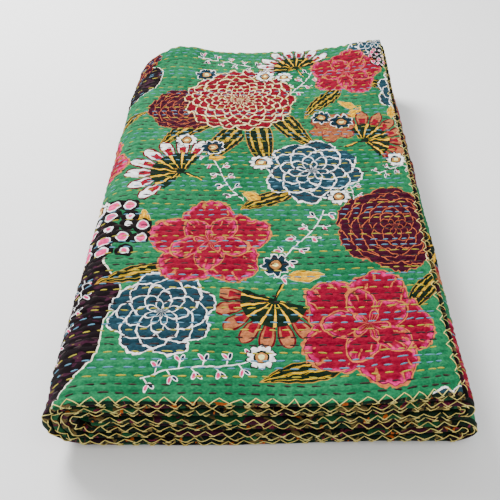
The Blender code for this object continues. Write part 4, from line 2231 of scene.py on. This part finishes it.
@dataclass
class HemThread:
    """The zigzag thread that is sewn over every hem."""

    fold: Fold
    pitch: float = 0.019
    peak: float = 0.0046
    foot: float = 0.0020
    top_peak: float = 0.0084
    top_foot: float = 0.0012
    short_foot: float = 0.004
    strip_reach: float = 0.0110
    crossing: float = 0.11
    radius: float = 0.00048
    sides: int = 5
    steps: int = 8
    uneven: float = 0.0015
    height_uneven: float = 0.0007
    lift_share: float = 0.7
    long_end: float = 0.002
    short_end: float = 0.004
    top_past: float = 0.03
    seed: int = 23

    def half_arc(self) -> float:
        """Half of the way round a hem's roll."""
        return 0.5 * math.pi * math.hypot(self.fold.roll, 0.5 * self.fold.ply) / math.sqrt(2)

    def marks(
        self,
        start: float,
        stop: float,
        peak: np.ndarray,
        foot: np.ndarray,
        up: np.ndarray,
        rng: np.random.Generator,
    ) -> tuple[np.ndarray, np.ndarray]:
        """The zigzag's way along a hem: its feet cross before they go under the edge.

        Args:
            start: Where it starts along the hem.
            stop: Where it ends.
            peak: How far round the roll from its middle each peak is.
            foot: How far each foot is, on the other side.
            up: How far the outer face looks up at each peak, -1 to 1.
            rng: Random source.

        Returns:
            Places along the hem and round its edge, with many to each leg.
        """
        count = len(peak)
        shares = np.array([0.0, 0.5 + self.crossing, 0.5 - self.crossing])
        pitch = (stop - start) / count
        turns = start + (np.arange(count)[:, None] + shares) * pitch
        turns = turns + rng.normal(0, self.uneven, (count, 3))
        side = np.where(up < 0, -1.0, 1.0)
        middle, reach = 0.5 * (peak - foot) * up, 0.5 * (peak + foot)
        heights = np.stack([middle + side * reach] + [middle - side * reach] * 2, axis=1)
        heights = heights + rng.normal(0, self.height_uneven, (count, 3))
        numbers = np.arange(3 * count)
        fine = np.linspace(0, 3 * count - 1, (3 * count - 1) * self.steps + 1)
        return np.interp(fine, numbers, turns.ravel()), np.interp(fine, numbers, heights.ravel())

    def counted(self, start: float, stop: float) -> np.ndarray:
        """Where each peak is, evenly from one end of a hem to the other."""
        count = round((stop - start) / self.pitch)
        return start + np.arange(count) * (stop - start) / count

    def long_hem(self, u: np.ndarray, edge: np.ndarray, side: int) -> np.ndarray:
        """Points along a long hem.

        Args:
            u: Places along the length.
            edge: Places round the hem's edge, above 0 towards the outer face.
            side: 1 for the upper ply, -1 for the lower.

        Returns:
            The points.
        """
        fold, arc = self.fold, self.half_arc()
        roll = fold.hem_roll((1 - np.clip(edge / arc, -1, 1)) * 0.5 * math.pi, side)
        outer = fold.faces(np.maximum(edge - arc, 0), side, fold.outer)
        inner = fold.faces(np.maximum(-arc - edge, 0), side, fold.inner)
        lift = self.lift_share * self.radius
        points = fold.place(u, roll, lift)
        for here, spots in ((edge > arc, outer), (edge < -arc, inner)):
            points[here] = fold.place(u, spots, lift)[here]
        return points

    def short_hem(self, v: np.ndarray, edge: np.ndarray, side: int) -> np.ndarray:
        """Points along the short hem of the top layer.

        Args:
            v: Places across the width.
            edge: Places round the hem's edge, above 0 towards the outer face.
            side: 1 for the upper ply, -1 for the lower.

        Returns:
            The points.
        """
        fold, arc = self.fold, self.half_arc()
        lift = self.lift_share * self.radius
        angle = (1 - np.clip(edge / arc, -1, 1)) * 0.5 * math.pi
        u = np.where(
            edge > arc, edge - arc, np.where(edge < -arc, -arc - edge, -fold.roll * np.sin(angle))
        )
        outer = fold.place(u, fold.faces(v, side, fold.outer), lift)
        inner = fold.place(u, fold.faces(v, side, fold.inner), lift)
        return np.where((edge > 0)[:, None], outer, inner)

    def build(self, material: Material) -> Object:
        """Make the piece.

        Args:
            material: Its finish.

        Returns:
            The piece.
        """
        rng = np.random.default_rng(self.seed)
        start, stop = self.long_end, FLAT_SIZE[1] - self.long_end
        at = self.counted(start, stop)
        nz = self.fold.route(at)["nz"]
        paths = []
        for side in (1, -1):
            on_top = (at < self.fold.starts[1] + self.top_past) & (side > 0)
            peak = np.where(on_top, self.top_peak, self.peak)
            foot = np.where(on_top, self.top_foot, self.foot)
            u, edge = self.marks(start, stop, peak, foot, side * nz, rng)
            paths.append(self.long_hem(u, edge, side))
        start, stop = self.short_end, self.fold.depth - self.short_end
        at = self.counted(start, stop)
        for side, peak, foot in (
            (1, self.top_peak, self.short_foot), (-1, self.short_foot, self.strip_reach)
        ):
            whole = np.ones(len(at))
            v, edge = self.marks(start, stop, peak * whole, foot * whole, whole, rng)
            paths.append(self.short_hem(v, edge, side))
        for path in paths:
            path[:, 2] = np.maximum(path[:, 2], self.radius)
        points, edges = [], []
        for path in paths:
            first = len(points)
            points += path.tolist()
            edges += [(k, k + 1) for k in range(first, len(points) - 1)]
        mesh = bpy.data.meshes.new("hem_thread_paths")
        mesh.from_pydata(points, edges, [])
        values = {"Radius": self.radius, "Sides": self.sides, "Material": material}
        return Sewing.run("hem_thread", mesh, Sewing.thread_tree(), values)


# ---- the studio ----


@dataclass(frozen=True)
class SoftLight:
    """One area light."""

    name: str
    place: tuple[float, float, float]
    aim: tuple[float, float, float]
    size: float
    power: float

    def build(self) -> None:
        """Add the light."""
        data = bpy.data.lights.new(self.name, "AREA")
        data.shape = "SQUARE"
        data.size = self.size
        data.energy = self.power
        light = add_object(self.name, data)
        light.location = self.place
        way = Vector(self.aim) - Vector(self.place)
        light.rotation_euler = way.to_track_quat("-Z", "Y").to_euler()


@dataclass
class Studio:
    """The camera, the lights and the pale floor."""

    place: tuple[float, float, float] = (-0.0088, -0.7341, 0.6536)
    pitch: float = 44.35
    yaw: float = -1.01
    roll: float = -0.10
    focal_pixels: float = 627.0
    frame_pixels: float = 500.0
    sensor: float = 36.0
    floor_size: float = 9.0
    floor_drop: float = 0.0005
    floor_tone: float = 0.92
    floor_roughness: float = 0.9
    world_tone: float = 0.95
    lights: tuple[SoftLight, ...] = (
        SoftLight("key_light", (-1.1, 1.1, 1.6), (0.0, 0.0, 0.05), 0.9, 98.0),
        SoftLight("fill_light", (1.2, -0.6, 2.0), (0.0, 0.0, 0.05), 1.4, 12.0),
    )

    def camera(self) -> None:
        """Set the camera at its viewing angle."""
        pitch, yaw, roll = (math.radians(a) for a in (self.pitch, self.yaw, self.roll))
        ahead = Vector(
            (math.sin(yaw) * math.cos(pitch), math.cos(yaw) * math.cos(pitch), -math.sin(pitch))
        )
        right = Vector((math.cos(yaw), -math.sin(yaw), 0.0))
        up = right.cross(ahead)
        turned_right = right * math.cos(roll) + up * math.sin(roll)
        turned_up = up * math.cos(roll) - right * math.sin(roll)
        data = bpy.data.cameras.new("camera")
        data.sensor_width = self.sensor
        data.lens = self.focal_pixels / self.frame_pixels * self.sensor
        data.clip_start = 0.01
        camera = add_object("camera", data)
        axes = Matrix((turned_right, turned_up, -ahead)).transposed().to_4x4()
        camera.matrix_world = Matrix.Translation(Vector(self.place)) @ axes
        bpy.context.scene.camera = camera

    def floor(self) -> None:
        """Add the pale floor."""
        half = 0.5 * self.floor_size
        mesh = bpy.data.meshes.new("floor")
        corners = [(-half, -half), (half, -half), (half, half), (-half, half)]
        mesh.from_pydata([(x, y, -self.floor_drop) for x, y in corners], [], [(0, 1, 2, 3)])
        finish = Finish("floor")
        finish.shader.inputs["Base Color"].default_value = (*([self.floor_tone] * 3), 1.0)
        finish.shader.inputs["Roughness"].default_value = self.floor_roughness
        mesh.materials.append(finish.material)
        floor = add_object("floor", mesh)

    def build(self) -> None:
        """Set up the whole studio."""
        self.camera()
        self.floor()
        for light in self.lights:
            light.build()
        world = bpy.data.worlds.new("studio")
        world.use_nodes = True
        back = world.node_tree.nodes["Background"]
        back.inputs["Color"].default_value = (1.0, 1.0, 1.0, 1.0)
        back.inputs["Strength"].default_value = self.world_tone
        bpy.context.scene.world = world


def report(piece: Object) -> None:
    """Log one piece's name and size."""
    triangles = sum(len(face.vertices) - 2 for face in piece.data.polygons)
    LOG.info("%s: %d triangles", piece.name, triangles)


def main() -> None:
    """Build and dress every piece, and hang each on the root body."""
    logging.basicConfig(level=logging.INFO, format="%(message)s")
    Studio().build()
    fold = Fold()
    quilting = Quilting(fold)
    cloth = Cloth(fold, quilting).build()
    PrintLayout(fold).apply(cloth.data)
    cloth.data.materials.append(PrintedCotton().build())
    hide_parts(NODE)
    # Each thread's second ink is the painted shade in the grooves of its twist.
    threads = {
        Thread.MAROON: TwistedThread("maroon_thread", ink("481A1A"), ink("260C0E")),
        Thread.YELLOW: TwistedThread("yellow_thread", ink("D2CC52"), ink("A8A236")),
        Thread.BLUE: TwistedThread("blue_thread", ink("8CBECC"), ink("6498AC")),
    }
    stitches = RunningStitches(fold, quilting)
    sewn = [stitches.build(thread, finish.build()) for thread, finish in threads.items()]
    # The second ink is the painted shade in the grooves of the twist.
    gold = TwistedThread("gold_thread", ink("F8EEC0"), ink("E4D292"))
    sewn.append(HemThread(fold).build(gold.build()))
    for piece in (cloth, *sewn):
        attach(piece, "root")
        report(piece)


if __name__ == "__main__":
    main()
